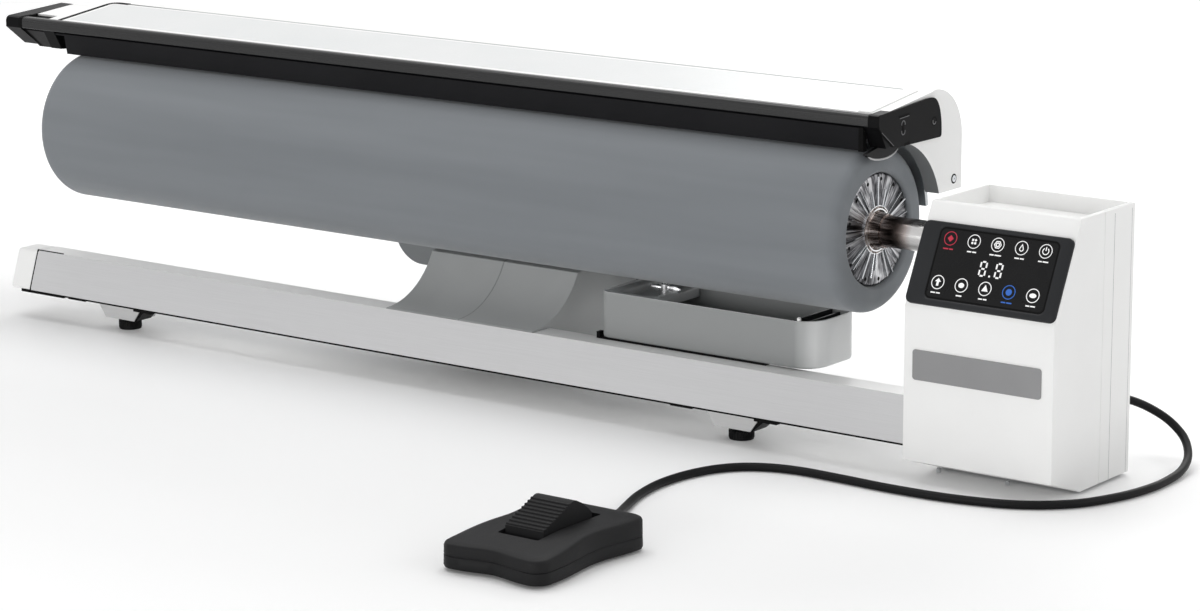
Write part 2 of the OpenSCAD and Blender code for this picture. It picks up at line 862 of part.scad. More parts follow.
module hinge_arms() {
    color(steel) place() for (x = [ped_x0 + arm_in, ped_x1 - arm_in - lug_t]) difference() {
        union() {
            rod_x(x, x + lug_t, hinge_y, hinge_z, lug_r);
            block([x, hinge_y - arm_half, hinge_z], [x + lug_t, hinge_y + arm_half, casing_foot_z]);
        }
        rod_x(x - cut, x + lug_t + cut, hinge_y, hinge_z, pin_r + run_gap);
    }
}

// Rear housing with the steam generator and the pump
rear_over = 42;
rear_z1 = ped_top + rear_over;
cover_t = 3;
vent_step = 12;
vent_w = 4;
vent_h = 44;
vent_up = 50;
vent_side = 5;

module rear_outline(inset) {
    translate([rear_x0 + inset, rear_z0 + inset])
        round_rect(rear_w - 2 * inset, rear_z1 - rear_z0 - 2 * inset, rear_r - inset);
}

// Extrudes an outline in X and Z from y0 back to y1
module slab_y(y0, y1) {
    translate([0, y1, 0]) rotate([90, 0, 0]) linear_extrude(height = y1 - y0) children();
}

module rear_housing() {
    color("#8f9192") place() difference() {
        slab_y(ped_back, rear_y1 - cover_t) rear_outline(0);
        slab_y(ped_back + rear_wall, rear_y1) rear_outline(rear_wall);
    }
}

module rear_cover() {
    color("#8f9192") place() difference() {
        slab_y(rear_y1 - cover_t, rear_y1) rear_outline(0);
        for (i = [-vent_side:vent_side])
            translate([i * vent_step - ped_mid - vent_w / 2, rear_y1 - cover_t - cut, rear_z0 + vent_up])
            cube([vent_w, cover_t + 2 * cut, vent_h]);
    }
}

boiler_r = 19;
boiler_l = 150;
boiler_in = 30;
boiler_neck = 10;
boiler_neck_r = 6;
boiler_y = ped_back + rear_wall + boiler_r;
boiler_z = (rear_z0 + rear_z1) / 2;

module steam_generator() {
    color(chrome_c) place() union() {
        rod_x(rear_x0 + boiler_in, rear_x0 + boiler_in + boiler_l, boiler_y, boiler_z, boiler_r);
        rod_x(rear_x0 + boiler_in - boiler_neck, rear_x0 + boiler_in + boiler_l + boiler_neck,
            boiler_y, boiler_z, boiler_neck_r);
    }
}

pump_in = 139;
pump_w = 60;
pump_half = 20;
pump_motor_l = 40;
pump_r = 15;
pump_x = rear_x0 + rear_w - pump_in;

module water_pump() {
    color("#4a4d52") place() union() {
        block([pump_x, ped_back + rear_wall, boiler_z - pump_half],
            [pump_x + pump_w, ped_back + rear_wall + 2 * pump_r, boiler_z + pump_half]);
        rod_x(pump_x + pump_w, pump_x + pump_w + pump_motor_l,
            ped_back + rear_wall + pump_r, boiler_z, pump_r);
    }
}

// Casing that carries the heated shoe
panel_back_y = 64;
panel_drop = 1.5;
panel_slope = 10;
round_y = casing_back - casing_r;
round_z = axis_h + casing_rise - casing_r;
shoe_in = roller_r + shoe_gap;
shoe_out = shoe_in + shoe_t;
plate_arc_gap = 4;
plate_arc_r = roller_r + plate_arc_gap;
panel_top_z1 = axis_h + casing_rise - panel_drop;
panel_top_z0 = panel_top_z1 - panel_slope;
foot_lip_gap = 1;

// The sheet's path over the top and down the back, taken in by the given distance
function casing_path(inset) = concat(
    [[panel_back_y, panel_top_z1 - inset]],
    arc_up(round_y, round_z, casing_r - inset, 0, 90, 12),
    [[casing_back - inset, casing_foot_z + inset], [shoe_out + foot_lip_gap, casing_foot_z + inset]]);

module casing_shell() {
    outer = casing_path(0);
    inner = casing_path(casing_wall);
    color(white) place() slab_x(left_plate_x1, 0,
        concat(outer, [for (i = [len(inner) - 1:-1:0]) inner[i]]));
}

nose_y = -30;
bar_proud = 0.5;
bar_over = 1.5;
bar_z1 = panel_top_z0 + bar_proud;
bar_z0 = bar_z1 - bar_h;
bar_y0 = nose_y - bar_over;
bar_y1 = bar_y0 + bar_d;
arc_front_deg = 12.5;
rod_back = 3.5;
rod_drop = 3;
rod_y = nose_y + rod_back;
rod_z = bar_z0 - rod_drop;
rod_r = 1.2;
cap_sink = 10;
cap_x0 = end_plate_t - cap_sink;

function plate_outline() = concat(
    [[bar_y1, panel_top_z0], [panel_back_y, panel_top_z1]],
    arc_up(round_y, round_z, casing_r, 0, 90, 16),
    [[casing_back, casing_foot_z]],
    arc_up(0, axis_h, plate_arc_r, acos(casing_foot / plate_arc_r), -arc_front_deg, 20),
    [[nose_y, bar_z0], [bar_y1, bar_z0]]);

// The cap's outline, as shares of its length and of its height over the roller
cap_l = 110.5;
cap_h = bar_z1 - axis_h - roller_r;
cap_shares = [[0, 0.86], [0.014, 0.96], [0.045, 1], [0.78, 1.13], [0.88, 1.07], [0.955, 0.83], [0.99, 0.49],
    [1, 0], [0.48, 0.014], [0.25, 0.043]];
function cap_outline() = concat([[bar_y0, bar_z0]],
    [for (s = cap_shares) [bar_y0 + cap_l * s[0], bar_z1 - cap_h + cap_h * s[1]]]);

// The front corner of a plate, below the bar, which belongs to the black cap
cheek_y = cap_outline()[len(cap_shares)][0];
cheek_outline = [[bar_y0 - cut, bar_z0], [cheek_y, bar_z0], [cheek_y, axis_h], [bar_y0 - cut, axis_h]];

module cheek(x0, x1) {
    intersection() {
        slab_x(x0, x1, plate_outline());
        slab_x(x0 - cut, x1 + cut, cheek_outline);
    }
}

module right_end_plate() {
    color(white) place() difference() {
        slab_x(0, end_plate_t, plate_outline());
        slab_x(cap_x0, end_plate_t + cut, cap_outline());
        slab_x(-cut, end_plate_t + cut, cheek_outline);
    }
}

module left_end_plate() {
    color(white) place() difference() {
        slab_x(left_plate_x0, left_plate_x1, plate_outline());
        slab_x(left_plate_x0 - cut, left_plate_x1 + cut, cheek_outline);
    }
}

module right_end_cap() {
    color(black) place() union() {
        slab_x(cap_x0, end_plate_t + right_cap_out, cap_outline());
        difference() {
            cheek(0, end_plate_t + right_cap_out);
            rod_x(-cut, cap_x0, rod_y, rod_z, rod_r);
        }
    }
}

block_share = 0.9;
block_back = 7;
block_drop = 3;
function block_outline() = [for (p = cap_outline())
    [bar_y0 + (p[0] - bar_y0) * block_share + block_back, p[1] - block_drop]];

module left_end_cap() {
    color(black) place() union() {
        slab_x(left_x, left_x + left_band, cap_outline());
        difference() {
            slab_x(left_x + left_band, left_plate_x0, block_outline());
            block([left_x, bar_y0 - cut, bar_z0], [left_plate_x0 + cut, bar_y1, bar_z1 + cut]);
        }
        difference() {
            cheek(left_plate_x0, left_plate_x1);
            rod_x(left_plate_x1 - end_plate_t / 2, left_plate_x1 + cut, rod_y, rod_z, rod_r);
        }
    }
}

panel_t = 2;

module top_panel() {
    color(white) place() slab_x(left_plate_x1, 0, [[bar_y1, panel_top_z0 - panel_t], [bar_y1, panel_top_z0],
        [panel_back_y, panel_top_z1], [panel_back_y, panel_top_z1 - panel_t]]);
}

bar_round = 5;
bar_wall = 2;

module front_bar() {
    color(black) place() difference() {
        slab_x(left_x + left_band, cap_x0, concat([[bar_y0, bar_z0]],
            arc_up(bar_y0 + bar_round, bar_z1 - bar_round, bar_round, -90, 0, 6),
            [[bar_y1, bar_z1], [bar_y1, bar_z0]]));
        slab_x(left_x, cap_x0 + cut, [[bar_y0 + bar_wall, bar_z0 + bar_wall],
            [bar_y0 + bar_wall, bar_z1 - bar_round], [bar_y0 + bar_round, bar_z1 - bar_wall],
            [bar_y1 - bar_wall, bar_z1 - bar_wall], [bar_y1 - bar_wall, bar_z0 + bar_wall]]);
    }
}

guard_over = 4;
guard_in = 5;
guard_x0 = -roller_len - guard_over;
guard_x1 = -guard_in;
guard_barrel = 2.3;
guard_t = 2;
guard_foot_y = -26;
guard_gap = 3.2;
guard_front = 0.3;
guard_foot_z = axis_h + sqrt(pow(roller_r + guard_gap, 2) - pow(guard_foot_y, 2));

module finger_guard() {
    color("#3d3f42") place() union() {
        slab_x(guard_x0, guard_x1, [[nose_y - guard_front, rod_z + rod_r], [guard_foot_y, guard_foot_z],
            [guard_foot_y + guard_t, guard_foot_z + guard_t / 2], [rod_y + rod_r, rod_z],
            [rod_y, rod_z + guard_t]]);
        rod_x(guard_x0, guard_x1, rod_y, rod_z, guard_barrel);
        rod_x(left_plate_x1 - end_plate_t / 2 + cut, cap_x0 - cut, rod_y, rod_z, rod_r - run_gap);
    }
}

shoe_left_in = 5;
shoe_right_in = 2;
shoe_x0 = shoe_left_in - roller_len;
shoe_x1 = -shoe_right_in;
fan_share = 1.2;
fan_steps = 4;

module heated_shoe() {
    color("#b9bcc0") place() difference() {
        slab_x(shoe_x0, shoe_x1, concat([[0, axis_h]],
            arc_up(0, axis_h, shoe_out * fan_share, -shoe_front_deg, shoe_back_deg, fan_steps)));
        rod_x(shoe_x0 - cut, shoe_x1 + cut, 0, axis_h, shoe_in);
        difference() {
            rod_x(shoe_x0 - cut, shoe_x1 + cut, 0, axis_h, shoe_out * 2);
            rod_x(shoe_x0 - 2 * cut, shoe_x1 + 2 * cut, 0, axis_h, shoe_out);
        }
    }
}

element_r = 4;
element_lift = 6;
element_orbit = shoe_out + element_lift;
element_shares = [0.23, 0.5, 0.77];
element_in = 12;

module element_rods(r) {
    for (s = element_shares) let (a = s * (shoe_back_deg + shoe_front_deg) - shoe_front_deg)
        rod_x(shoe_x0 + element_in, shoe_x1 - element_in,
            element_orbit * sin(a), axis_h + element_orbit * cos(a), r);
}

module heating_elements() {
    color("#5b4a42") place() element_rods(element_r);
}

rib_t = 4;
rib_step_share = 0.3;
rib_front_y = -2;
function panel_under(y) = panel_top_z0 - panel_t + (y - bar_y1) * panel_slope / (panel_back_y - bar_y1);
rib_outline = concat([[rib_front_y, panel_under(rib_front_y)], [panel_back_y, panel_under(panel_back_y)]],
    arc_up(round_y, round_z, casing_r - casing_wall, 0, 90, 12),
    [[casing_back - casing_wall, casing_foot_z + casing_wall]],
    arc_up(0, axis_h, shoe_out, acos((casing_foot + casing_wall) / shoe_out), 0, 16));

// Ribs join the shoe's back to the casing and hold the heating elements
module shoe_ribs() {
    color(steel) place() difference() {
        for (i = [-1:1]) translate([i * roller_len * rib_step_share - roller_len / 2, 0, 0])
            slab_x(0, rib_t, rib_outline);
        element_rods(element_r);
    }
}

// Water tray on its bracket
tray_off = 68;
tray_lift = 1.8;
tray_x0 = ped_x1 + tray_off;
tray_z0 = beam_top + tray_lift;
tray_top = axis_h - roller_r - tray_gap;
shelf_w = 68;
shelf_t = 3;
shelf_drop = 8;
nut_in = 51;
nut_x = tray_x0 + nut_in;
nut_y = -2;
nut_bore = 3;

// A slice of the tray's outline, taken in by the given distance, from z0 to z1
module tray_slice(inset, z0, z1) {
    translate([tray_x0 + inset, inset - tray_front, z0]) linear_extrude(height = z1 - z0)
        round_rect(tray_l - 2 * inset, tray_d - 2 * inset, tray_r - inset);
}

module water_tray() {
    color("#c2c3c3") place() difference() {
        union() {
            difference() {
                tray_slice(0, tray_z0, tray_top);
                tray_slice(tray_wall, tray_z0 + tray_wall, tray_top + cut);
            }
            intersection() {
                tray_slice(tray_wall / 2, tray_top - shelf_drop - shelf_t, tray_top - shelf_drop);
                block([tray_x0, -tray_front, 0], [tray_x0 + shelf_w, tray_d - tray_front, tray_top]);
            }
        }
        translate([nut_x, nut_y, tray_top - shelf_drop - shelf_t - cut])
            cylinder(h = shelf_t + 2 * cut, r = nut_bore + run_gap);
    }
}

wing_t = 2.5;
wing_span = 38;
wing_h = 9;
washer_t = 1.2;
washer_rim = 3.5;
hub_rim = 1.5;
hub_h = 7;
under_l = 4;
under_t = 3.5;
under_rim = 2;

module wing_nut() {
    color(chrome_c) place() translate([nut_x, nut_y, tray_top - shelf_drop]) union() {
        cylinder(h = washer_t, r = nut_bore + washer_rim);
        translate([0, 0, -shelf_t - under_l]) cylinder(h = shelf_t + under_l, r = nut_bore);
        translate([0, 0, -shelf_t - under_l]) cylinder(h = under_t, r = nut_bore + under_rim);
        translate([-wing_span / 2, -wing_t / 2, 0]) cube([wing_span, wing_t, wing_h]);
        cylinder(h = hub_h, r = nut_bore + hub_rim);
    }
}

rail_in = 1;
rail_share = 0.78;
stop_t = 4;
stop_h = 5;
rail_y0 = rail_in - tray_front;
rail_y1 = beam_back - beam_lean - rail_in;

// The bracket lies on the beam: a rail that the tray slides on, with a stop at its left end
module tray_bracket() {
    color(black) place() union() {
        block([tray_x0 - fit_gap, rail_y0, beam_top], [tray_x0 + tray_l * rail_share, rail_y1, tray_z0]);
        block([tray_x0 - fit_gap - stop_t, rail_y0, beam_top],
            [tray_x0 - fit_gap, rail_y1, tray_z0 + stop_h]);
    }
}

// Foot pedal on its pads
pedal_pad_h = 2;
waist = 7;
nose_in = 8;
nose_share = 0.4;
dip_share = 0.7;
waist_shares = [[0.3, 0.6], [0.55, 1], [0.85, 0.4]];
pad_end_shares = [0.14, 0.86];
pad_side_share = 0.33;
pocket_gap = 1.5;
pocket_depth = 18;
pocket_z = pedal_h - pocket_depth;
pocket_back = 16;
rocker_place = 84;
rocker_mid_y = pedal_front + rocker_place;
pivot_drop = 10;
pivot_z = pedal_h - pivot_drop;
cable_z = 18;
boot_l = 12;
nose_drop = 6;
nose_run = 55;

// One long side of the pedal, drawn in at its waist, from front to back
function pedal_side(side) = [for (s = waist_shares) [side * (pedal_w / 2 - waist * s[1]), pedal_l * s[0]]];
function pedal_outline() = let (
    h = pedal_w / 2, left = pedal_side(-1), last = len(waist_shares) - 1
) concat([[nose_in - h, 0], [-h * nose_share, nose_in * dip_share], [h * nose_share, nose_in * dip_share],
    [h - nose_in, 0], [h, nose_in]], pedal_side(1), [[h - nose_in, pedal_l], [nose_in - h, pedal_l]],
    [for (i = [last:-1:0]) left[i]], [[-h, nose_in]]);

// Rocker: ribbed front slope, a crest and a long back slope
crest = 31;
slope_z = 13;
rocker_foot = 1;
rib_r = 1.1;
rocker_pin_r = 2.5;
rocker_pin_l = 6;
rocker_pin_z = 6;
crest_shares = [[0.13, 0.955], [0.2, 0.99], [0.28, 1], [0.38, 0.98], [0.6, 0.86], [0.85, 0.66], [1, 0.5]];
function rocker_outline() = let (h = rocker_l / 2) concat([[-h, -rocker_foot], [-h, slope_z]],
    [for (s = crest_shares) [h * s[0], crest * s[1]]], [[h, -rocker_foot]]);
function rib_place(t) = let (
    h = rocker_l / 2,
    low = [-h, slope_z],
    high = [h * crest_shares[0][0], crest * crest_shares[0][1]]
) low + t * (high - low);

module pedal_base() {
    color(black) place() difference() {
        union() {
            intersection() {
                translate([pedal_mid, pedal_front, pedal_pad_h])
                    linear_extrude(height = pedal_h - pedal_pad_h) polygon(pedal_outline());
                slab_x(pedal_mid - pedal_w, pedal_mid + pedal_w, [[pedal_front - cut, 0],
                    [pedal_front - cut, pedal_h - nose_drop], [pedal_front + nose_run, pedal_h],
                    [pedal_back + cut, pedal_h], [pedal_back + cut, 0]]);
            }
            for (side = [-1, 1], s = pad_end_shares)
                translate([pedal_mid + side * pedal_w * pad_side_share, pedal_front + pedal_l * s, 0])
                cylinder(h = pedal_pad_h, r = nose_in);
        }
        block([pedal_mid - rocker_w / 2 - pocket_gap, rocker_mid_y - rocker_l / 2 - pocket_gap, pocket_z],
            [pedal_mid + rocker_w / 2 + pocket_gap, rocker_mid_y + rocker_l / 2 + pocket_gap + pocket_back,
            pedal_h + cut]);
        rod_x(pedal_mid - rocker_w / 2 - rocker_pin_l - cut, pedal_mid + rocker_w / 2 + rocker_pin_l + cut,
            rocker_mid_y, pivot_z + rocker_pin_z, rocker_pin_r);
        translate([pedal_mid, pedal_back - boot_l, cable_z]) rotate([-90, 0, 0])
            cylinder(h = boot_l + cut, r = cable_d / 2);
    }
}

module pedal_rocker() {
    color("#333436") place() translate([pedal_mid - rocker_w / 2, rocker_mid_y, pivot_z]) {
        rotate([90, 0, 90]) linear_extrude(height = rocker_w) union() {
            polygon(rocker_outline());
            for (i = [0:rib_count - 1])
                translate(rib_place((i + 0.5) / rib_count)) circle(r = rib_r, $fn = 16);
        }
        translate([-rocker_pin_l, 0, rocker_pin_z]) rotate([0, 90, 0])
            cylinder(h = rocker_w + 2 * rocker_pin_l, r = rocker_pin_r - run_gap);
    }
}

// The pedal's cable, in the part's own frame, from the gland to the pedal
cable_points = [
    [648, 261, 62], [648, 275, 62], [650, 290, 61], [656, 306, 57], [668, 322, 48],
    [685, 331, 36], [704, 326, 23], [719, 306, 12], [728, 276, 6], [731, 242, 4.2],
    [730, 206, 4.2], [721, 166, 4.2], [700, 124, 4.2], [660, 92, 4.2], [602, 76, 4.2],
    [540, 72, 4.2], [484, 74, 4.2], [437, 74, 4.2], [402, 64, 4.2], [377, 42, 4.2],
    [363, 6, 4.2], [360, -38, 4.2], [368, -82, 4.2], [383, -122, 5], [399, -154, 9],
    [410, -180, 15], [415, -200, 18], [415, -217, 18]];
cable_steps = 3;

function spline(p, i, t) = let (
    a = p[max(i - 1, 0)], b = p[i], c = p[i + 1], d = p[min(i + 2, len(p) - 1)]
) 0.5 * ((2 * b) + (c - a) * t + (2 * a - 5 * b + 4 * c - d) * t * t + (3 * b - a - 3 * c + d) * t * t * t);
cable_path = concat([for (i = [0:len(cable_points) - 2], k = [0:cable_steps - 1])
    spline(cable_points, i, k / cable_steps)], [cable_points[len(cable_points) - 1]]);

function unit(v) = v / norm(v);
cable_sides = 8;

// A ring of points square to the path at its point i, kept level
function ring(path, i, r, sides) = let (
    along = unit(path[min(i + 1, len(path) - 1)] - path[max(i - 1, 0)]),
    side = unit(cross(along, [0, 0, 1])),
    up = cross(side, along)
) [for (k = [0:sides - 1]) let (a = (k + 0.5) * 360 / sides)
    path[i] + r * (cos(a) * side + sin(a) * up)];

// A tube along a path, with two triangles on each of its faces
module tube(path, r, sides) {
    n = len(path);
    points = [for (i = [0:n - 1]) each ring(path, i, r, sides)];
    skin = [for (i = [0:n - 2], k = [0:sides - 1]) let (a = i * sides, next = (k + 1) % sides)
        each [[a + k, a + sides + k, a + sides + next], [a + k, a + sides + next, a + next]]];
    start = [for (k = [0:sides - 1]) k];
    end = [for (k = [sides - 1:-1:0]) (n - 1) * sides + k];
    polyhedron(points = points, faces = concat([start], skin, [end]));
}

module pedal_cable() {
    color(black) tube(cable_path, cable_d / 2, cable_sides);
}

roller_padding();
roller_core();
right_end_disc();
left_end_disc();
inner_bulkhead();
hub_collar();
drive_shaft();
shaft_gear();
motor_pinion();
motor_shaft();
gear_motor();
bearing_plate_left();
bearing_plate_right();
bearing_left();
bearing_right();
box_front_shell();
box_rear_shell();
box_base();
box_feet();
top_tray();
panel_bezel();
touch_screen();
front_plate();
main_board();
power_inlet();
pedal_gland();
base_beam();
beam_end_cap();
foot_brackets();
left_front_foot();
right_front_foot();
left_rear_foot();
right_rear_foot();
rear_foot_bar();
pedestal_left_shell();
pedestal_right_shell();
hinge_bracket();
hinge_pin();
rear_housing();
rear_cover();
steam_generator();
water_pump();
casing_shell();
right_end_plate();
left_end_plate();
top_panel();
front_bar();
right_end_cap();
left_end_cap();
finger_guard();
heated_shoe();
heating_elements();
shoe_ribs();
hinge_arms();
water_tray();
tray_bracket();
wing_nut();
pedal_base();
pedal_rocker();
pedal_cable();
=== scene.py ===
"""The looks of a flatwork ironer, built around its fixed frame of named parts.

Working places are in millimetres: X from the roller's right end face towards the
control box, Y from the roller's axis towards the back, Z from the table up.
"""
import math

import bmesh
import bpy
from mathutils import Matrix, Vector


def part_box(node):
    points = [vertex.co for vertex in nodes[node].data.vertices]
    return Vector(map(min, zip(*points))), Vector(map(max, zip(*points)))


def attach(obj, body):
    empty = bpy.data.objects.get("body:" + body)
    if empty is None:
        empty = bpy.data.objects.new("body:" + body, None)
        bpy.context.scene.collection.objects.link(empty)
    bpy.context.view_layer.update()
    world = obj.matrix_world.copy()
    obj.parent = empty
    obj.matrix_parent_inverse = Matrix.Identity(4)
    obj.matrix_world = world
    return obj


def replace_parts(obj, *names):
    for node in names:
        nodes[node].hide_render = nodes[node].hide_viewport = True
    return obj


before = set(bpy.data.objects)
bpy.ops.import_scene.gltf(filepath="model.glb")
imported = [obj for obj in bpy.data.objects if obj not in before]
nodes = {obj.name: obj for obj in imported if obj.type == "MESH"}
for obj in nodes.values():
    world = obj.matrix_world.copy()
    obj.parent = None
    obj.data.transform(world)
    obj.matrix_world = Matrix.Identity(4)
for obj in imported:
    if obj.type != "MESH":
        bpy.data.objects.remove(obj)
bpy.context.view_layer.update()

MM = 0.001
ROLLER_LOW, ROLLER_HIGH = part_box("roller_padding")
FACE_X = ROLLER_HIGH.x
AXIS_Y = (ROLLER_LOW.y + ROLLER_HIGH.y) / 2
AXIS_H = (ROLLER_LOW.z + ROLLER_HIGH.z) / 2 / MM
ROLLER_R = (ROLLER_HIGH.z - ROLLER_LOW.z) / 2 / MM
ROLLER_LEN = (ROLLER_HIGH.x - ROLLER_LOW.x) / MM


def at(x, y, z):
    """A working place in millimetres, as a point of the frame in metres."""
    return Vector((FACE_X + x * MM, AXIS_Y + y * MM, z * MM))


def working(point):
    """A point of the frame in metres, as a working place in millimetres."""
    return Vector(((point.x - FACE_X) / MM, (point.y - AXIS_Y) / MM, point.z / MM))


def node_box(name):
    """A node's box at rest, as two corners in working millimetres."""
    return [working(corner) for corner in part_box(name)]


def node_middle(name):
    """The X and Y of the middle of a node's box."""
    low, high = node_box(name)
    return (low.x + high.x) / 2, (low.y + high.y) / 2


def link(name, data):
    """A new object in the scene."""
    made = bpy.data.objects.new(name, data)
    bpy.context.scene.collection.objects.link(made)
    return made


def aimed(place, target):
    """The turn and place of a camera or lamp that looks at a target."""
    turn = (Vector(target) - Vector(place)).to_track_quat("-Z", "Y").to_matrix().to_4x4()
    return Matrix.Translation(place) @ turn


# Camera

CAMERA_PLACE = at(1818.5, -2864.7, 896.2)
CAMERA_TARGET = at(-329.0, 0.0, 96.1)
CAMERA_ROLL = math.radians(-0.23)
FOCAL_PIXELS = 3663.45
PIXELS_WIDE = 1200
SENSOR_MM = 36.0


def add_camera():
    data = bpy.data.cameras.new("camera")
    data.sensor_width = SENSOR_MM
    data.lens = FOCAL_PIXELS / PIXELS_WIDE * SENSOR_MM
    data.clip_end = 50.0
    camera = link("camera", data)
    camera.matrix_world = aimed(CAMERA_PLACE, CAMERA_TARGET) @ Matrix.Rotation(CAMERA_ROLL, 4, "Z")
    bpy.context.scene.camera = camera


add_camera()


# Pieces and their meshes

def add_piece(name, mesh, finish, body):
    """Links a mesh or curve as a piece that rides on a body."""
    piece = link(name, mesh)
    mesh.materials.append(finish)
    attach(piece, body)
    return piece


def make_mesh(name, points, faces, smooth):
    """A mesh from working points, smooth except at edges sharper than the angle in degrees."""
    mesh = bpy.data.meshes.new(name)
    mesh.from_pydata([at(*p) for p in points], [], faces)
    tidy = bmesh.new()
    tidy.from_mesh(mesh)
    bmesh.ops.remove_doubles(tidy, verts=tidy.verts, dist=1e-6)
    bmesh.ops.recalc_face_normals(tidy, faces=tidy.faces)
    tidy.to_mesh(mesh)
    tidy.free()
    mesh.polygons.foreach_set("use_smooth", [True] * len(mesh.polygons))
    mesh.set_sharp_from_angle(angle=math.radians(smooth))
    return mesh


def turns(count):
    """Angles evenly spaced round a circle."""
    return [2 * math.pi * i / count for i in range(count)]


def arc(cx, cy, r, start, end, steps):
    """Points on an arc in a plane, angles in degrees from the first axis."""
    angles = [math.radians(start + (end - start) * i / steps) for i in range(steps + 1)]
    return [(cx + r * math.cos(a), cy + r * math.sin(a)) for a in angles]


def cornered_outline(x0, y0, x1, y1, radii, corner=10, side=12):
    """A rectangle whose corners have radii of their own, from its right front corner round."""
    places = [(x1, y0, -90, -1, 1), (x1, y1, 0, -1, -1), (x0, y1, 90, 1, -1), (x0, y0, 180, 1, 1)]
    rounds = [arc(x + sx * r, y + sy * r, r, a, a + 90, corner)
              for (x, y, a, sx, sy), r in zip(places, radii)]
    points = []
    for line, following in zip(rounds, rounds[1:] + rounds[:1]):
        (ax, ay), (bx, by) = line[-1], following[0]
        points += line + [(ax + (bx - ax) * i / side, ay + (by - ay) * i / side) for i in range(1, side)]
    return points


def round_outline(x0, y0, x1, y1, r):
    """A rectangle with equally round corners and bare sides."""
    return cornered_outline(x0, y0, x1, y1, (r,) * 4, 6, 1)


# Faces of the frame, which carry the small pieces

class Face:
    """The largest flat face of a node that looks a given way, with places on it in millimetres."""

    def __init__(self, name, toward):
        groups = {}
        mesh = nodes[name].data
        for polygon in mesh.polygons:
            n = polygon.normal
            if n.dot(Vector(toward)) > 0.7:
                key = (round(n.x, 2), round(n.y, 2), round(n.z, 2), round(polygon.center.dot(n) / MM, 1))
                groups.setdefault(key, []).append(polygon)
        flat = max(groups.values(), key=lambda group: sum(p.area for p in group))
        self.normal = flat[0].normal.copy()
        across = Vector((0, 0, 1)).cross(self.normal)
        self.right = across.normalized() if across.length > 0.05 else Vector((1, 0, 0))
        self.up = self.normal.cross(self.right)
        corners = [mesh.vertices[i].co for p in flat for i in p.vertices]
        low_u = min(c.dot(self.right) for c in corners)
        low_v = min(c.dot(self.up) for c in corners)
        self.width = (max(c.dot(self.right) for c in corners) - low_u) / MM
        self.height = (max(c.dot(self.up) for c in corners) - low_v) / MM
        out = corners[0].dot(self.normal)
        self.origin = working(self.right * low_u + self.up * low_v + self.normal * out)

    def place(self, u, v, out=0.0):
        """A working place: u to the right, v up and out from the face, from its low left corner."""
        return tuple(self.origin + self.right * u + self.up * v + self.normal * out)

    def seen(self, place):
        """The u and v of a working place."""
        offset = Vector(place) - self.origin
        return offset.dot(self.right), offset.dot(self.up)


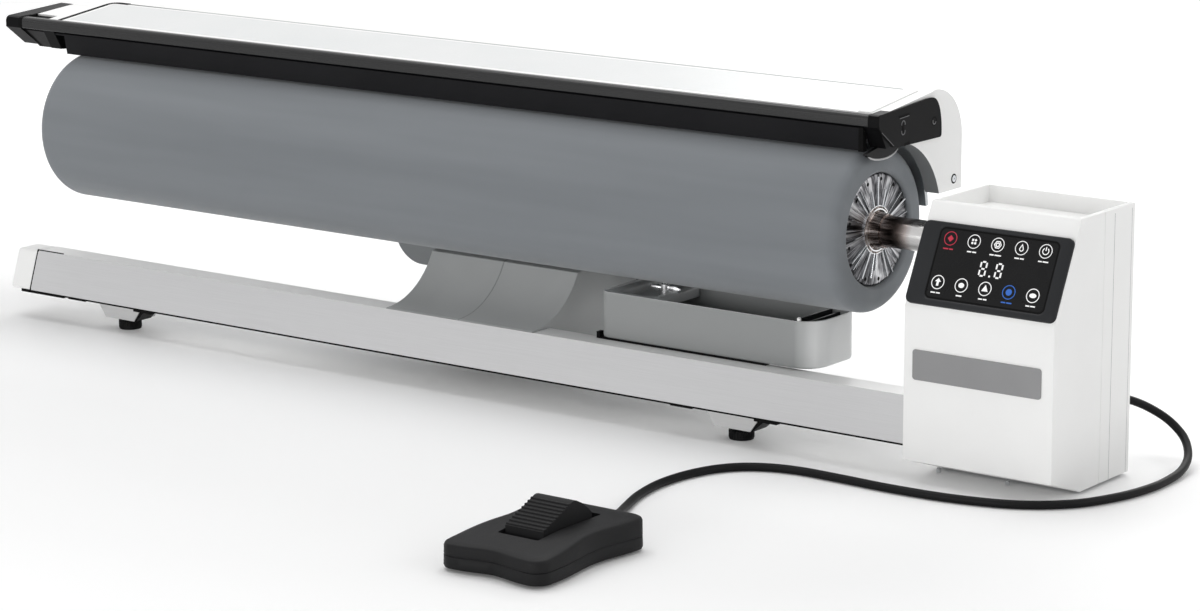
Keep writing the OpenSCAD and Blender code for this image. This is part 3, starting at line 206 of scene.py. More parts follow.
class Shape:
    """Points and faces of one or more closed solids, in working millimetres."""

    def __init__(self):
        self.points = []
        self.faces = []

    def loft(self, loops, around=False):
        """Joins loops of equally many points; open ends are closed with flat faces."""
        base, n = len(self.points), len(loops[0])
        self.points += [tuple(p) for loop in loops for p in loop]
        for k in range(len(loops) if around else len(loops) - 1):
            m = (k + 1) % len(loops)
            for i in range(n):
                j = (i + 1) % n
                self.faces.append([base + row * n + p for row, p in ((k, i), (k, j), (m, j), (m, i))])
        if not around:
            self.faces.append([base + i for i in reversed(range(n))])
            self.faces.append([base + (len(loops) - 1) * n + i for i in range(n)])

    def plate(self, face, outline, low, high, edge=0.0):
        """A flat piece on a face, from one height to another, with its upper edge taken in."""
        cu = sum(p[0] for p in outline) / len(outline)
        cv = sum(p[1] for p in outline) / len(outline)
        reach = max(max(abs(p[0] - cu), abs(p[1] - cv)) for p in outline)
        k = 1 - edge / reach
        loops = [[face.place(u, v, out) for u, v in outline] for out in (low, high - edge)]
        if edge:
            loops.append([face.place(cu + (u - cu) * k, cv + (v - cv) * k, high) for u, v in outline])
        self.loft(loops)

    def ring(self, face, u, v, inner, outer, low, high, steps=40, start=0.0, sweep=360.0):
        """A flat ring, or an arc of one, on a face."""
        angles = [math.radians(start + sweep * i / steps) for i in range(steps + (sweep < 360))]
        corners = ((inner, low), (outer, low), (outer, high), (inner, high))
        self.loft([[face.place(u + r * math.cos(a), v + r * math.sin(a), out) for r, out in corners]
                   for a in angles], around=sweep >= 360)

    def bar(self, face, start, end, width, low, high):
        """A straight bar on a face between two places."""
        (u0, v0), (u1, v1) = start, end
        length = math.hypot(u1 - u0, v1 - v0)
        du, dv = (v1 - v0) / length * width / 2, (u0 - u1) / length * width / 2
        outline = [(u0 - du, v0 - dv), (u0 + du, v0 + dv), (u1 + du, v1 + dv), (u1 - du, v1 - dv)]
        self.plate(face, outline, low, high)

    def turned(self, profile, steps, x=0.0, y=0.0, z=AXIS_H, upright=False, closed=False):
        """A profile of (along, radius) turned round an axis; open ends are closed flat."""
        base, n = len(self.points), len(profile)
        for a in turns(steps):
            s, c = math.sin(a), math.cos(a)
            self.points += [(x + r * c, y + r * s, z + along) if upright
                            else (x + along, y + r * s, z + r * c)
                            for along, r in profile]
        for i in range(steps):
            j = (i + 1) % steps
            for k in range(n if closed else n - 1):
                m = (k + 1) % n
                self.faces.append([base + row * n + p for row, p in ((i, k), (j, k), (j, m), (i, m))])
        for k in () if closed else (0, n - 1):
            if profile[k][1] > 0:
                self.faces.append([base + i * n + k for i in range(steps)])

    def sweep(self, route, radii, steps=24):
        """A round tube along a route of working places."""
        loops = []
        for i, place in enumerate(route):
            ahead = (Vector(route[min(i + 1, len(route) - 1)]) - Vector(route[max(i - 1, 0)])).normalized()
            side = ahead.cross(Vector((0, 0, 1))).normalized()
            rise = side.cross(ahead)
            loops.append([Vector(place) + (side * math.cos(a) + rise * math.sin(a)) * radii[i]
                          for a in turns(steps)])
        self.loft(loops)

    def block(self, low, high):
        """A box from its lowest to its highest corner."""
        (x0, y0, z0), (x1, y1, z1) = low, high
        self.loft([[(x0, y0, z), (x1, y0, z), (x1, y1, z), (x0, y1, z)] for z in (z0, z1)])

    def piece(self, name, body, slot, finish=None, smooth=35.0):
        """The shape as a piece, in the finish of its slot unless it has one of its own."""
        mesh = make_mesh(name, self.points, self.faces, smooth)
        return add_piece(name, mesh, finish or finishes[slot], body)


# Materials

PLASTIC_IOR = 1.5
SOFT_BLEND = (0.35, 0.65)
FULL_BLEND = (0.3, 0.7)


def linear(code):
    """An sRGB hex colour as linear red, green, blue and alpha."""
    parts = [int(code[i:i + 2], 16) / 255 for i in (1, 3, 5)]
    return [p / 12.92 if p <= 0.04045 else ((p + 0.055) / 1.055) ** 2.4 for p in parts] + [1.0]


def add(tree, kind, inputs=None, **settings):
    """Adds a node with its settings, and sets its inputs or links them to a socket or another node."""
    made = tree.nodes.new("ShaderNode" + kind)
    for name, value in settings.items():
        setattr(made, name, value)
    for name, value in (inputs or {}).items():
        if isinstance(value, bpy.types.Node):
            value = value.outputs[0]
        if isinstance(value, bpy.types.NodeSocket):
            tree.links.new(value, made.inputs[name])
        else:
            made.inputs[name].default_value = value
    return made


def blobs(size, detail=2.0, rough=0.5):
    """The inputs of a noise whose blobs are about the given size in millimetres."""
    return {"Scale": 1.0 / size, "Detail": detail, "Roughness": rough}


class Finish:
    """A material being built: its tree, its shader and its place in millimetres."""

    def __init__(self, name, roughness=0.5, metallic=0.0, **sockets):
        self.material = bpy.data.materials.new(name)
        self.material.use_nodes = True
        self.tree = self.material.node_tree
        self.tree.nodes.clear()
        self.shader = self.add("BsdfPrincipled", {"Roughness": roughness, "Metallic": metallic})
        if metallic == 0.0:
            self.shader.inputs["IOR"].default_value = PLASTIC_IOR
        for socket, value in sockets.items():
            self.shader.inputs[socket.replace("_", " ")].default_value = value
        self.add("OutputMaterial", {"Surface": self.shader})
        place = self.add("TexCoord").outputs["Object"]
        self.mm = self.add("Mapping", {"Vector": place, "Scale": (1 / MM, 1 / MM, 1 / MM)})

    def add(self, kind, inputs=None, **settings):
        return add(self.tree, kind, inputs, **settings)

    def around_axis(self):
        """The place's X, its turn round the roller's axis and its height over the axis."""
        x, y, z = self.add("SeparateXYZ", {"Vector": self.mm}).outputs
        rise = self.add("Math", {0: z, 1: AXIS_H}, operation="SUBTRACT")
        off = self.add("Math", {0: y, 1: AXIS_Y / MM}, operation="SUBTRACT")
        return x, self.add("Math", {0: off, 1: rise}, operation="ARCTAN2"), rise

    def wrapped(self, turn, along, pitch):
        """A place for patterns that run round the axis without a seam."""
        return self.add("CombineXYZ", {"X": self.add("Math", {0: turn}, operation="SINE"),
                                       "Y": self.add("Math", {0: turn}, operation="COSINE"),
                                       "Z": self.add("Math", {0: along, 1: pitch}, operation="MULTIPLY")})

    def dressed(self, shade, blend, codes, gloss=None, rough=None, bumps=()):
        """Hex colours from one pattern, gloss from another, and bumps with their depths in millimetres."""
        fac = self.add("MapRange", {"Value": shade, "From Min": blend[0], "From Max": blend[1]})
        ramp = self.add("ValToRGB", {"Fac": fac})
        stops = ramp.color_ramp.elements
        while len(stops) < len(codes):
            stops.new(0.5)
        for i, code in enumerate(codes):
            stops[i].position = i / (len(codes) - 1)
            stops[i].color = linear(code)
        made = {"Base Color": ramp}
        if gloss:
            made["Roughness"] = self.add("MapRange", {
                "Value": gloss, "From Min": FULL_BLEND[0], "From Max": FULL_BLEND[1],
                "To Min": rough[0], "To Max": rough[1]})
        for height, depth in bumps:
            inputs = {"Height": height, "Distance": depth * MM, "Strength": 1.0}
            if "Normal" in made:
                inputs["Normal"] = made["Normal"]
            made["Normal"] = self.add("Bump", inputs)
        for name, node in made.items():
            self.tree.links.new(node.outputs[0], self.shader.inputs[name])
        return self.material


def moulded_plastic(name, dark, light, spark=0.7, depth=0.02, rough=(0.42, 0.52), **sockets):
    """Moulded plastic with a spark-eroded skin: a fine even grain that softens highlights."""
    finish = Finish(name, **sockets)
    cloud = finish.add("TexNoise", {"Vector": finish.mm, **blobs(90.0)})
    skin = finish.add("TexNoise", {"Vector": finish.mm, **blobs(spark, 2.0, 0.6)})
    return finish.dressed(cloud, SOFT_BLEND, (dark, light), skin, rough, [(skin, depth)])


def coated_sheet(name, dark, light):
    """Powder-coated steel sheet: an orange peel of soft 2 mm swells under a satin coat."""
    finish = Finish(name)
    cloud = finish.add("TexNoise", {"Vector": finish.mm, **blobs(160.0)})
    peel = finish.add("TexNoise", {"Vector": finish.mm, **blobs(2.2, 1.0, 0.4)})
    return finish.dressed(cloud, SOFT_BLEND, (dark, light), peel, (0.3, 0.4), [(peel, 0.03)])


def drawn_metal(name, dark, light, metallic, rough, **sockets):
    """Drawn or brushed metal: fine lines along X, half a millimetre apart."""
    finish = Finish(name, metallic=metallic, **sockets)
    place = finish.add("Mapping", {"Vector": finish.mm, "Scale": (1 / 60.0, 1 / 0.5, 1 / 0.5)})
    lines = finish.add("TexNoise", {"Vector": place, **blobs(1.0, 3.0, 0.6)})
    return finish.dressed(lines, FULL_BLEND, (dark, light), lines, rough, [(lines, 0.01)])


def plated(name, dark, light, rough=(0.08, 0.16), wear=40.0):
    """Plated or polished metal: bright, with faint cloudy wear in its gloss."""
    finish = Finish(name, metallic=1.0)
    cloud = finish.add("TexNoise", {"Vector": finish.mm, **blobs(wear, 4.0, 0.6)})
    polish = finish.add("TexNoise", {"Vector": finish.mm, **blobs(0.8)})
    return finish.dressed(cloud, FULL_BLEND, (dark, light), cloud, rough, [(polish, 0.003)])


def rubber(name, dark, light, rough=(0.5, 0.62), **sockets):
    """Black rubber or soft PVC: matte, with a slightly waxy skin."""
    finish = Finish(name, **sockets)
    cloud = finish.add("TexNoise", {"Vector": finish.mm, **blobs(25.0, 3.0)})
    skin = finish.add("TexNoise", {"Vector": finish.mm, **blobs(1.2, 3.0, 0.6)})
    return finish.dressed(cloud, FULL_BLEND, (dark, light), skin, rough, [(skin, 0.02)])


def woven_cover():
    """Polyester ironing felt: a plain weave, its threads drawn 1.6 mm apart so that they show."""
    finish = Finish("woven_polyester_felt", roughness=0.86, Sheen_Weight=0.25, Sheen_Roughness=0.45,
                    Specular_IOR_Level=0.25)
    thread = 1.6
    along, turn, _ = finish.around_axis()
    waves = []
    for place, rate in ((along, 2 * math.pi / thread), (turn, round(ROLLER_R * math.tau / thread))):
        phase = finish.add("Math", {0: place, 1: rate}, operation="MULTIPLY")
        waves.append(finish.add("Math", {0: phase}, operation="SINE"))
    weave = finish.add("Math", {0: waves[0], 1: waves[1]}, operation="MULTIPLY")
    long_place = finish.add("Mapping", {"Vector": finish.mm, "Scale": (1 / 420.0, 1 / 30.0, 1 / 30.0)})
    streak = finish.add("TexNoise", {"Vector": long_place, **blobs(1.0)})
    faint = finish.add("Math", {0: weave, 1: 0.05}, operation="MULTIPLY")
    shade = finish.add("Math", {0: faint, 1: streak}, operation="ADD")
    fuzz = finish.add("TexNoise", {"Vector": finish.mm, **blobs(3.0, 3.0, 0.6)})
    return finish.dressed(shade, FULL_BLEND, ("#787c80", "#7c8084", "#808488"),
                          bumps=[(fuzz, 0.05), (weave, 0.05)])


def screen_glass():
    """Dark touch glass with an anti-glare etch, so it mirrors little of a white room."""
    finish = Finish("etched_touch_glass", Specular_IOR_Level=0.16)
    cloud = finish.add("TexNoise", {"Vector": finish.mm, **blobs(30.0)})
    etch = finish.add("TexNoise", {"Vector": finish.mm, **blobs(12.0, 3.0)})
    return finish.dressed(cloud, SOFT_BLEND, ("#0f0f10", "#131314"), etch, (0.24, 0.32))


def circuit_board():
    """Green solder mask over copper tracks: a grid of slightly raised lighter lines."""
    finish = Finish("green_solder_mask", roughness=0.35)
    tracks = finish.add("TexVoronoi", {"Vector": finish.mm, "Scale": 1 / 6.0}, distance="MANHATTAN")
    return finish.dressed(tracks, (0.2, 0.9), ("#1d5a36", "#2e7a4a"), bumps=[(tracks, 0.05)])


def lit_mark(name, code, strength):
    """A printed and back-lit mark, which glows a little through its even ink."""
    finish = Finish(name, roughness=0.4, Emission_Strength=strength, Emission_Color=linear(code))
    grain = finish.add("TexNoise", {"Vector": finish.mm, **blobs(0.6)})
    return finish.dressed(grain, (0.2, 0.8), (code, code))


def faded_line():
    """A shadow gap that opens towards the casing's left end: black there, grey at the right."""
    finish = Finish("top_panel_gap", roughness=0.7)
    left, right = (FACE_X / MM + corner.x for corner in node_box("top_panel"))
    along = finish.add("SeparateXYZ", {"Vector": finish.mm})
    dust = finish.add("TexNoise", {"Vector": finish.mm, **blobs(1.5)})
    return finish.dressed(along, (left, left + (right - left) * 0.12), ("#111112", "#b4b5b6"),
                          bumps=[(dust, 0.01)])


def tray_with_painted_light():
    """Grey ABS tray with painted light: faces that look right (+X) or up are paler, its long sides, left end
    and underside darker, with a fine grain all over.
    """
    finish = Finish("grey_tray_abs_painted_light", roughness=0.45)
    # Painted light: the colour follows which way a face looks, paler towards the right and up, where the
    # lamps fall
    facing = finish.add("SeparateXYZ", {"Vector": finish.add("NewGeometry").outputs["Normal"]}).outputs
    raised = finish.add("Math", {0: facing["Z"], 1: 0.8}, operation="MULTIPLY")
    side = finish.add("Math", {0: facing["X"], 1: raised}, operation="MAXIMUM")
    skin = finish.add("TexNoise", {"Vector": finish.mm, **blobs(0.8, 2.0, 0.6)})
    return finish.dressed(side, (0.15, 0.8), ("#8f9191", "#b4b6b6", "#e2e3e3"), skin, (0.4, 0.5),
                          [(skin, 0.015)])


def pleated_chrome_painted_glints():
    """Chromed pressed disc: fine radial pleats, real in their bump, whose light and dark glints are painted
    into the colour.
    """
    finish = Finish("pleated_chrome_painted_glints", metallic=1.0)
    _, turn, rise = finish.around_axis()
    place = finish.wrapped(turn, finish.add("Math", {0: rise}, operation="ABSOLUTE"), 0.004)
    pleats = finish.add("TexNoise", {"Vector": place, **blobs(0.055, 2.0, 0.6)})
    broad = finish.add("TexNoise", {"Vector": place, **blobs(0.32, 1.0)})
    parts = [finish.add("Math", {0: noise, 1: share}, operation="MULTIPLY")
             for noise, share in ((pleats, 0.6), (broad, 0.4))]
    shade = finish.add("Math", {0: parts[0], 1: parts[1]}, operation="ADD")
    # Painted reflection: near-black to bright grey for the glints the pleats catch
    codes = ("#1c1c1e", "#4c4c4f", "#8c8c8f", "#c8c8ca")
    return finish.dressed(shade, (0.36, 0.62), codes, pleats, (0.22, 0.38), [(pleats, 0.35)])


def steel_with_painted_reflection():
    """Ground steel with a painted reflection of the ribs beside it: brown-black streaks near the hub, and a
    painted bright highlight further out.
    """
    finish = Finish("ground_steel_painted_reflection", metallic=1.0)
    x, turn, _ = finish.around_axis()
    along = finish.add("Math", {0: x, 1: FACE_X / MM}, operation="SUBTRACT")
    noise = finish.add("TexNoise", {"Vector": finish.wrapped(turn, along, 0.006), **blobs(0.16, 2.0, 0.6)})
    streaks = finish.add("MapRange", {"Value": noise, "From Min": 0.38, "From Max": 0.6})
    inner = finish.add("MapRange", {"Value": along, "From Min": 8.0, "From Max": 30.0,
                                    "To Min": 0.72, "To Max": 0.0})
    near = finish.add("Math", {0: streaks, 1: inner}, operation="MULTIPLY")
    outer = finish.add("MapRange", {"Value": along, "From Min": 22.0, "From Max": 44.0})
    shade = finish.add("Math", {0: outer, 1: near}, operation="MAXIMUM")
    place = finish.add("Mapping", {"Vector": finish.mm, "Scale": (1 / 0.6, 1 / 40.0, 1 / 40.0)})
    lines = finish.add("TexNoise", {"Vector": place, **blobs(0.7)})
    # Painted reflection: the dark and light codes stand for the ribs and the bright room mirrored in the
    # steel
    codes = ("#2a2422", "#645954", "#a79d99", "#c4c3c2")
    return finish.dressed(shade, (0.0, 1.0), codes, streaks, (0.16, 0.24), [(lines, 0.004)])


# Black finishes mirror less than bare plastic, because a white studio would turn them grey
SATIN_BLACK = {"Specular_IOR_Level": 0.14}

finishes = {
    "padding_cloth": woven_cover(),
    "white_enamel": coated_sheet("white_powder_coat", "#f3f3f2", "#f6f6f5"),
    "white_abs": moulded_plastic("white_moulded_abs", "#f3f3f2", "#f6f6f5", depth=0.012),
    "beam_aluminium": drawn_metal("silver_coated_extrusion", "#c6c6c6", "#cccccc", 0.0, (0.34, 0.42)),
    "grey_abs": moulded_plastic("grey_moulded_abs", "#b0b2b2", "#b6b8b8"),
    "rear_grey_abs": moulded_plastic("dark_grey_moulded_abs", "#85888a", "#8d9092"),
    "black_aluminium": drawn_metal("black_anodised_aluminium", "#0d0d0e", "#121213", 0.0, (0.24, 0.32),
                                   Specular_IOR_Level=0.45),
    "black_abs": moulded_plastic("black_moulded_abs", "#0b0b0c", "#0f0f10", rough=(0.36, 0.46),
                                 Specular_IOR_Level=0.06),
    "zinc_steel": plated("zinc_plated_steel", "#9a9da1", "#b4b6b9", (0.28, 0.42), 14.0),
    "chrome": plated("polished_chrome", "#b9bbbe", "#d2d4d6"),
    "bearing_steel": plated("ground_bearing_steel", "#a5a8ab", "#bcbec0", (0.18, 0.28)),
    "shoe_aluminium": drawn_metal("cast_shoe_aluminium", "#a8abae", "#bcbfc1", 1.0, (0.3, 0.4)),
    "element_sheath": plated("browned_element_sheath", "#4c3d35", "#6b5646", (0.4, 0.55), 10.0),
    "gear_nylon": moulded_plastic("cast_gear_nylon", "#d2ccb8", "#ded8c6", 0.4),
    "brass": plated("turned_brass", "#a98a48", "#c2a35c", (0.2, 0.3), 12.0),
    "motor_body": moulded_plastic("grey_motor_enamel", "#565a5f", "#63676c", 1.2),
    "bezel_abs": moulded_plastic("charcoal_panel_abs", "#242527", "#2a2b2d", 0.5, rough=(0.4, 0.5),
                                 **SATIN_BLACK),
    "screen_glass": screen_glass(),
    "grey_label": moulded_plastic("grey_printed_label", "#89898a", "#8f8f90", 0.5, 0.005),
    "circuit_board": circuit_board(),
    "black_rubber": rubber("black_soft_pvc", "#0c0c0d", "#101011", (0.4, 0.5), **SATIN_BLACK),
    "pedal_abs": moulded_plastic("charcoal_pedal_abs", "#181819", "#1c1c1d", 0.8, 0.03, (0.5, 0.6),
                                 **SATIN_BLACK),
}
WHITE_MARK = lit_mark("white_panel_print", "#d8d8d8", 0.5)
RED_MARK = lit_mark("red_panel_print", "#a01c34", 0.45)
BLUE_MARK = lit_mark("blue_panel_print", "#2358a8", 0.4)
# Painted shade: near-black pieces laid where gaps, slots, holes and screw wells fall into shade
GAP_SHADE_BLACK = rubber("painted_gap_shade", "#050505", "#080808", (0.7, 0.8), Specular_IOR_Level=0.1)
SOFT_LINE = rubber("grey_joint_shadow", "#8f9192", "#9a9c9d", (0.7, 0.8))
# Painted highlight: a pale strip for a lit rim
RIM_HIGHLIGHT_PAINT = moulded_plastic("painted_highlight_strip", "#b4b4b5", "#c0c0c1", rough=(0.3, 0.4))
# Painted highlight: a lit grey for the edges of black parts
EDGE_HIGHLIGHT_PAINT = moulded_plastic("lit_black_edge", "#4c4c4e", "#58585a", rough=(0.3, 0.4))
PANEL_LINE = faded_line()
PANEL_INLAY = coated_sheet("pale_top_inlay", "#d9dbdb", "#dedfdf")
BEAM_SILVER = drawn_metal("silver_beam_panel", "#c9c9ca", "#d0d0d1", 0.0, (0.3, 0.4))
TRAY_LIT_AND_SHADED = tray_with_painted_light()
REFLECTION_PAINTED_STEEL = steel_with_painted_reflection()
BRIGHT_NICKEL = plated("bright_nickel", "#e2e3e4", "#f0f0f1", (0.22, 0.34), 12.0)
OWN_FINISH = {
    "water_tray": TRAY_LIT_AND_SHADED, "base_beam": finishes["white_enamel"], "drive_shaft": REFLECTION_PAINTED_STEEL,
    "finger_guard": moulded_plastic("dark_flap_abs", "#18181a", "#1c1c1e", rough=(0.45, 0.55),
                                    Specular_IOR_Level=0.08)}

for name, part in nodes.items():
    for slot in part.material_slots:
        slot.material = OWN_FINISH.get(name) or finishes[slot.material.name.split(".")[0]]

# Painted shade: the white right end plate's edge round the roller is coloured grey, where it lies in shade
ARC_EDGE_SHADE = moulded_plastic("arc_edge_painted_shade", "#77797a", "#7d7f80")
ARC_REACH = 112.0


def paint_arc_edge_shade():
    """Colours the plate's inner edge, which faces the roller's axis, grey as painted shade."""
    mesh = nodes["right_end_plate"].data
    mesh.materials.append(ARC_EDGE_SHADE)
    for polygon in mesh.polygons:
        place = working(polygon.center)
        inward = -place.y * polygon.normal.y - (place.z - AXIS_H) * polygon.normal.z
        if abs(polygon.normal.x) < 0.3 and inward > 0 and math.hypot(place.y, place.z - AXIS_H) < ARC_REACH:
            polygon.material_index = len(mesh.materials) - 1


paint_arc_edge_shade()


# Pedal cable: one soft PVC cable from the box's gland to the pedal's boot

CABLE_D = 8.0
CABLE_STEPS = 8
CABLE_POINTS = [
    (648, 261, 62), (648, 275, 62), (650, 290, 61), (656, 306, 57), (668, 322, 48),
    (685, 331, 36), (704, 326, 23), (719, 306, 12), (728, 276, 6), (731, 242, 4.2),
    (730, 206, 4.2), (721, 166, 4.2), (700, 124, 4.2), (660, 92, 4.2), (602, 76, 4.2),
    (540, 72, 4.2), (484, 74, 4.2), (437, 74, 4.2), (402, 64, 4.2), (377, 42, 4.2),
    (363, 6, 4.2), (360, -38, 4.2), (368, -82, 4.2), (383, -122, 5), (399, -154, 9),
    (410, -180, 15), (415, -200, 18), (415, -217, 18)]


def spline(points, i, t):
    """A point on the smooth curve through the points, between point i and the next."""
    a, b, c, d = (Vector(points[min(max(k, 0), len(points) - 1)]) for k in range(i - 1, i + 3))
    return 0.5 * (2 * b + (c - a) * t + (2 * a - 5 * b + 4 * c - d) * t ** 2
                  + (3 * b - a - 3 * c + d) * t ** 3)


def cable_route():
    """The cable's middle line, in metres."""
    route = [spline(CABLE_POINTS, i, k / CABLE_STEPS) * MM
             for i in range(len(CABLE_POINTS) - 1) for k in range(CABLE_STEPS)]
    return route + [Vector(CABLE_POINTS[-1]) * MM]


def add_cable():
    route = cable_route()
    curve = bpy.data.curves.new("pedal_lead", "CURVE")
    curve.dimensions = "3D"
    curve.bevel_depth = CABLE_D / 2 * MM
    curve.bevel_resolution = 6
    curve.use_fill_caps = True
    line = curve.splines.new("POLY")
    line.points.add(len(route) - 1)
    for point, place in zip(line.points, route):
        point.co = (*place, 1.0)
    line.use_smooth = True
    cable = add_piece("pedal_lead", curve, finishes["black_rubber"], "base")
    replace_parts(cable, "pedal_cable")
    length = sum((q - p).length for p, q in zip(route, route[1:]))
    tuple(route[0])


add_cable()


# Roller cover: padding wrapped over the tube, its ends turned in

def add_roller_cover():
    left, end_r, lip_r, recess_r, lip = -ROLLER_LEN, 12.0, 4.0, 54.5, 8.0
    quarter = [math.radians(a) for a in range(0, 91, 9)]
    right = [(-end_r + end_r * math.sin(a), ROLLER_R - end_r + end_r * math.cos(a)) for a in quarter]
    right += [(-lip_r + lip_r * math.cos(a), recess_r + lip_r - lip_r * math.sin(a)) for a in quarter]
    right.append((-lip, recess_r))
    body = [(-end_r - (ROLLER_LEN - 2 * end_r) * i / 24, ROLLER_R) for i in range(1, 24)]
    mirrored = [(left - x, r) for x, r in reversed(right)]
    profile = list(reversed(right)) + body + list(reversed(mirrored))
    profile += [(left + lip, recess_r + 10), (-lip, recess_r + 10)]
    shape = Shape()
    shape.turned(profile, 128, closed=True)
    cover = shape.piece("roller_cover", "roller", "padding_cloth")
    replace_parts(cover, "roller_padding")


add_roller_cover()


# Control panel: frame, screen and its marks

PANEL = Face("panel_bezel", (0, -1, 0.4))
GLASS_OUT = -0.9
WINDOW = (18.6, 6.4, 143.6, 74.5)
WINDOW_R = 6.0
MARK = (GLASS_OUT, GLASS_OUT + 0.12)


def add_panel_frame():
    outside = (0, 0, PANEL.width, PANEL.height)
    steps = ((outside, 0, 0, 6.0, -3.5), (outside, 0, 0, 6.0, -1.0), (outside, 0.3, 0.3, 6.0, -0.3),
             (outside, 1, 1, 5.0, 0.0), (WINDOW, -3.2, -1.6, WINDOW_R + 1.6, 0.0),
             (WINDOW, -0.4, -0.4, WINDOW_R, GLASS_OUT + 0.3), (WINDOW, 0, 0, WINDOW_R, GLASS_OUT - 0.4),
             (WINDOW, 0, 0, WINDOW_R, -3.5))
    shape = Shape()
    shape.loft([[PANEL.place(u, v, out) for u, v in round_outline(x0 + dx, y0 + dy, x1 - dx, y1 - dy, r)]
                for (x0, y0, x1, y1), dx, dy, r, out in steps], around=True)
    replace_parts(shape.piece("panel_frame", "base", "bezel_abs"), "panel_bezel")


def add_screen():
    x0, y0, x1, y1 = WINDOW
    shape = Shape()
    shape.plate(PANEL, round_outline(x0 - 2, y0 - 2, x1 + 2, y1 + 2, WINDOW_R), GLASS_OUT - 2.0, GLASS_OUT)
    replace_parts(shape.piece("screen_pane", "base", "screen_glass"), "touch_screen")
    # A thin dark border of painted gap shade round the glass's edge
    border = Shape()
    border.loft([[PANEL.place(u, v, GLASS_OUT + out)
                  for u, v in round_outline(x0 + d, y0 + d, x1 - d, y1 - d, WINDOW_R - d)]
                 for d, out in ((0.3, 0), (0.3, 0.06), (1.6, 0.06), (1.6, 0))], around=True)
    border.piece("screen_border", "base", "black_rubber", GAP_SHADE_BLACK)


ICON_STEP, ICON_R = 24.8, 6.7
TOP_ROW = (31.0, 64.2)
LOW_ROW = (29.4, 22.3)
LABEL_DROP = 9.9
DIGIT_PLACES = ((71.8, 40.3), (88.2, 40.3))


def icon_place(row, i):
    return row[0] + i * ICON_STEP, row[1]


def blob(shape, u, v, points):
    shape.plate(PANEL, [(u + a, v + b) for a, b in points], *MARK)


def polygon_points(count, r, turn=0.0, squash=1.0):
    angles = [math.radians(turn + 360 * i / count) for i in range(count)]
    return [(r * math.cos(a), r * squash * math.sin(a)) for a in angles]


def label(shape, u, v, widths):
    """A short row of plain dashes where the panel names a key."""
    widths = [w * 1.35 for w in widths]
    at_u = u - (sum(widths) + 0.9 * (len(widths) - 1)) / 2
    for w in widths:
        blob(shape, at_u, v, [(0, -0.6), (w, -0.6), (w, 0.6), (0, 0.6)])
        at_u += w + 0.9


def add_marks():
    white, red, blue = Shape(), Shape(), Shape()
    rows = ((TOP_ROW, 0, red, 0.7, ((4.0, 3.0), (3.4, 3.0), (3.2, 5.0), (3.6, 3.0), (2.8, 4.2))),
            (LOW_ROW, 3, blue, 0.8, ((3.6, 3.0), (4.4,), (3.0, 2.8), (3.4, 4.0), (3.0, 3.6))))
    for row, tinted, tint, width, words in rows:
        for i, widths in enumerate(words):
            u, v = icon_place(row, i)
            shape = tint if i == tinted else white
            shape.ring(PANEL, u, v, ICON_R - width, ICON_R, *MARK)
            label(shape, u, v - LABEL_DROP, widths)
    for shape, row, i, points in (
            (red, TOP_ROW, 0, polygon_points(4, 3.2)),
            (white, LOW_ROW, 0, [(0, 3.9), (-3.2, 0.6), (-1.2, 0.6), (-1.2, -3.4), (1.2, -3.4), (1.2, 0.6),
                                 (3.2, 0.6)]),
            (white, LOW_ROW, 1, polygon_points(24, 3.0, squash=0.8)),
            (white, LOW_ROW, 2, [(0, 3.8), (-3.4, -2.4), (3.4, -2.4)]),
            (blue, LOW_ROW, 3, polygon_points(24, 3.1)),
            (white, LOW_ROW, 4, polygon_points(24, 3.6, squash=0.6))):
        blob(shape, *icon_place(row, i), points)
    u, v = icon_place(TOP_ROW, 1)
    for a in range(4):
        turn = math.radians(90 * a + 45)
        blob(white, u + 2.1 * math.cos(turn), v + 2.1 * math.sin(turn), polygon_points(4, 1.4, 45 * (a % 2)))
    u, v = icon_place(TOP_ROW, 2)
    white.ring(PANEL, u, v, 1.2, 2.2, *MARK, steps=24)
    white.ring(PANEL, u, v, 3.0, 4.0, *MARK, steps=6)
    u, v = icon_place(TOP_ROW, 3)
    drop = [(0, 4.0)] + arc(0, -1.0, 2.3, 30, -210, 16)
    core = [(0, 2.4)] + arc(0, -1.0, 1.4, 30, -210, 16)
    white.loft([[PANEL.place(u + a, v + b, MARK[out]) for a, b in line]
                for line, out in ((drop, 0), (drop, 1), (core, 1), (core, 0))], around=True)
    u, v = icon_place(TOP_ROW, 4)
    white.ring(PANEL, u, v, 2.6, 3.5, *MARK, steps=28, start=125.0, sweep=290.0)
    white.bar(PANEL, (u, v + 0.4), (u, v + 4.0), 1.0, *MARK)
    add_digits(white)
    white.piece("panel_marks", "base", None, WHITE_MARK)
    red.piece("panel_heat_mark", "base", None, RED_MARK)
    blue.piece("panel_cycle_mark", "base", None, BLUE_MARK)


def add_digits(shape):
    """Two seven-segment figures with a point between them."""
    wide, tall, thick, gap = 7.4, 14.8, 1.6, 0.5
    for u, v in DIGIT_PLACES:
        for level in (-1, 0, 1):
            y = v + level * (tall - thick) / 2
            shape.bar(PANEL, (u - wide / 2 + thick + gap, y), (u + wide / 2 - thick - gap, y), thick, *MARK)
        for side, half in ((-1, -1), (-1, 1), (1, -1), (1, 1)):
            x = u + side * (wide - thick) / 2
            middle = v + half * tall / 4
            reach = tall / 4 - thick / 2 - gap
            shape.bar(PANEL, (x, middle - reach), (x, middle + reach), thick, *MARK)
    dot_u = sum(p[0] for p in DIGIT_PLACES) / 2
    blob(shape, dot_u, DIGIT_PLACES[0][1] - tall / 2 + 1.2, polygon_points(16, 1.0))


add_panel_frame()
add_screen()
add_marks()


# Control box: blank plate, side seams and toe screws

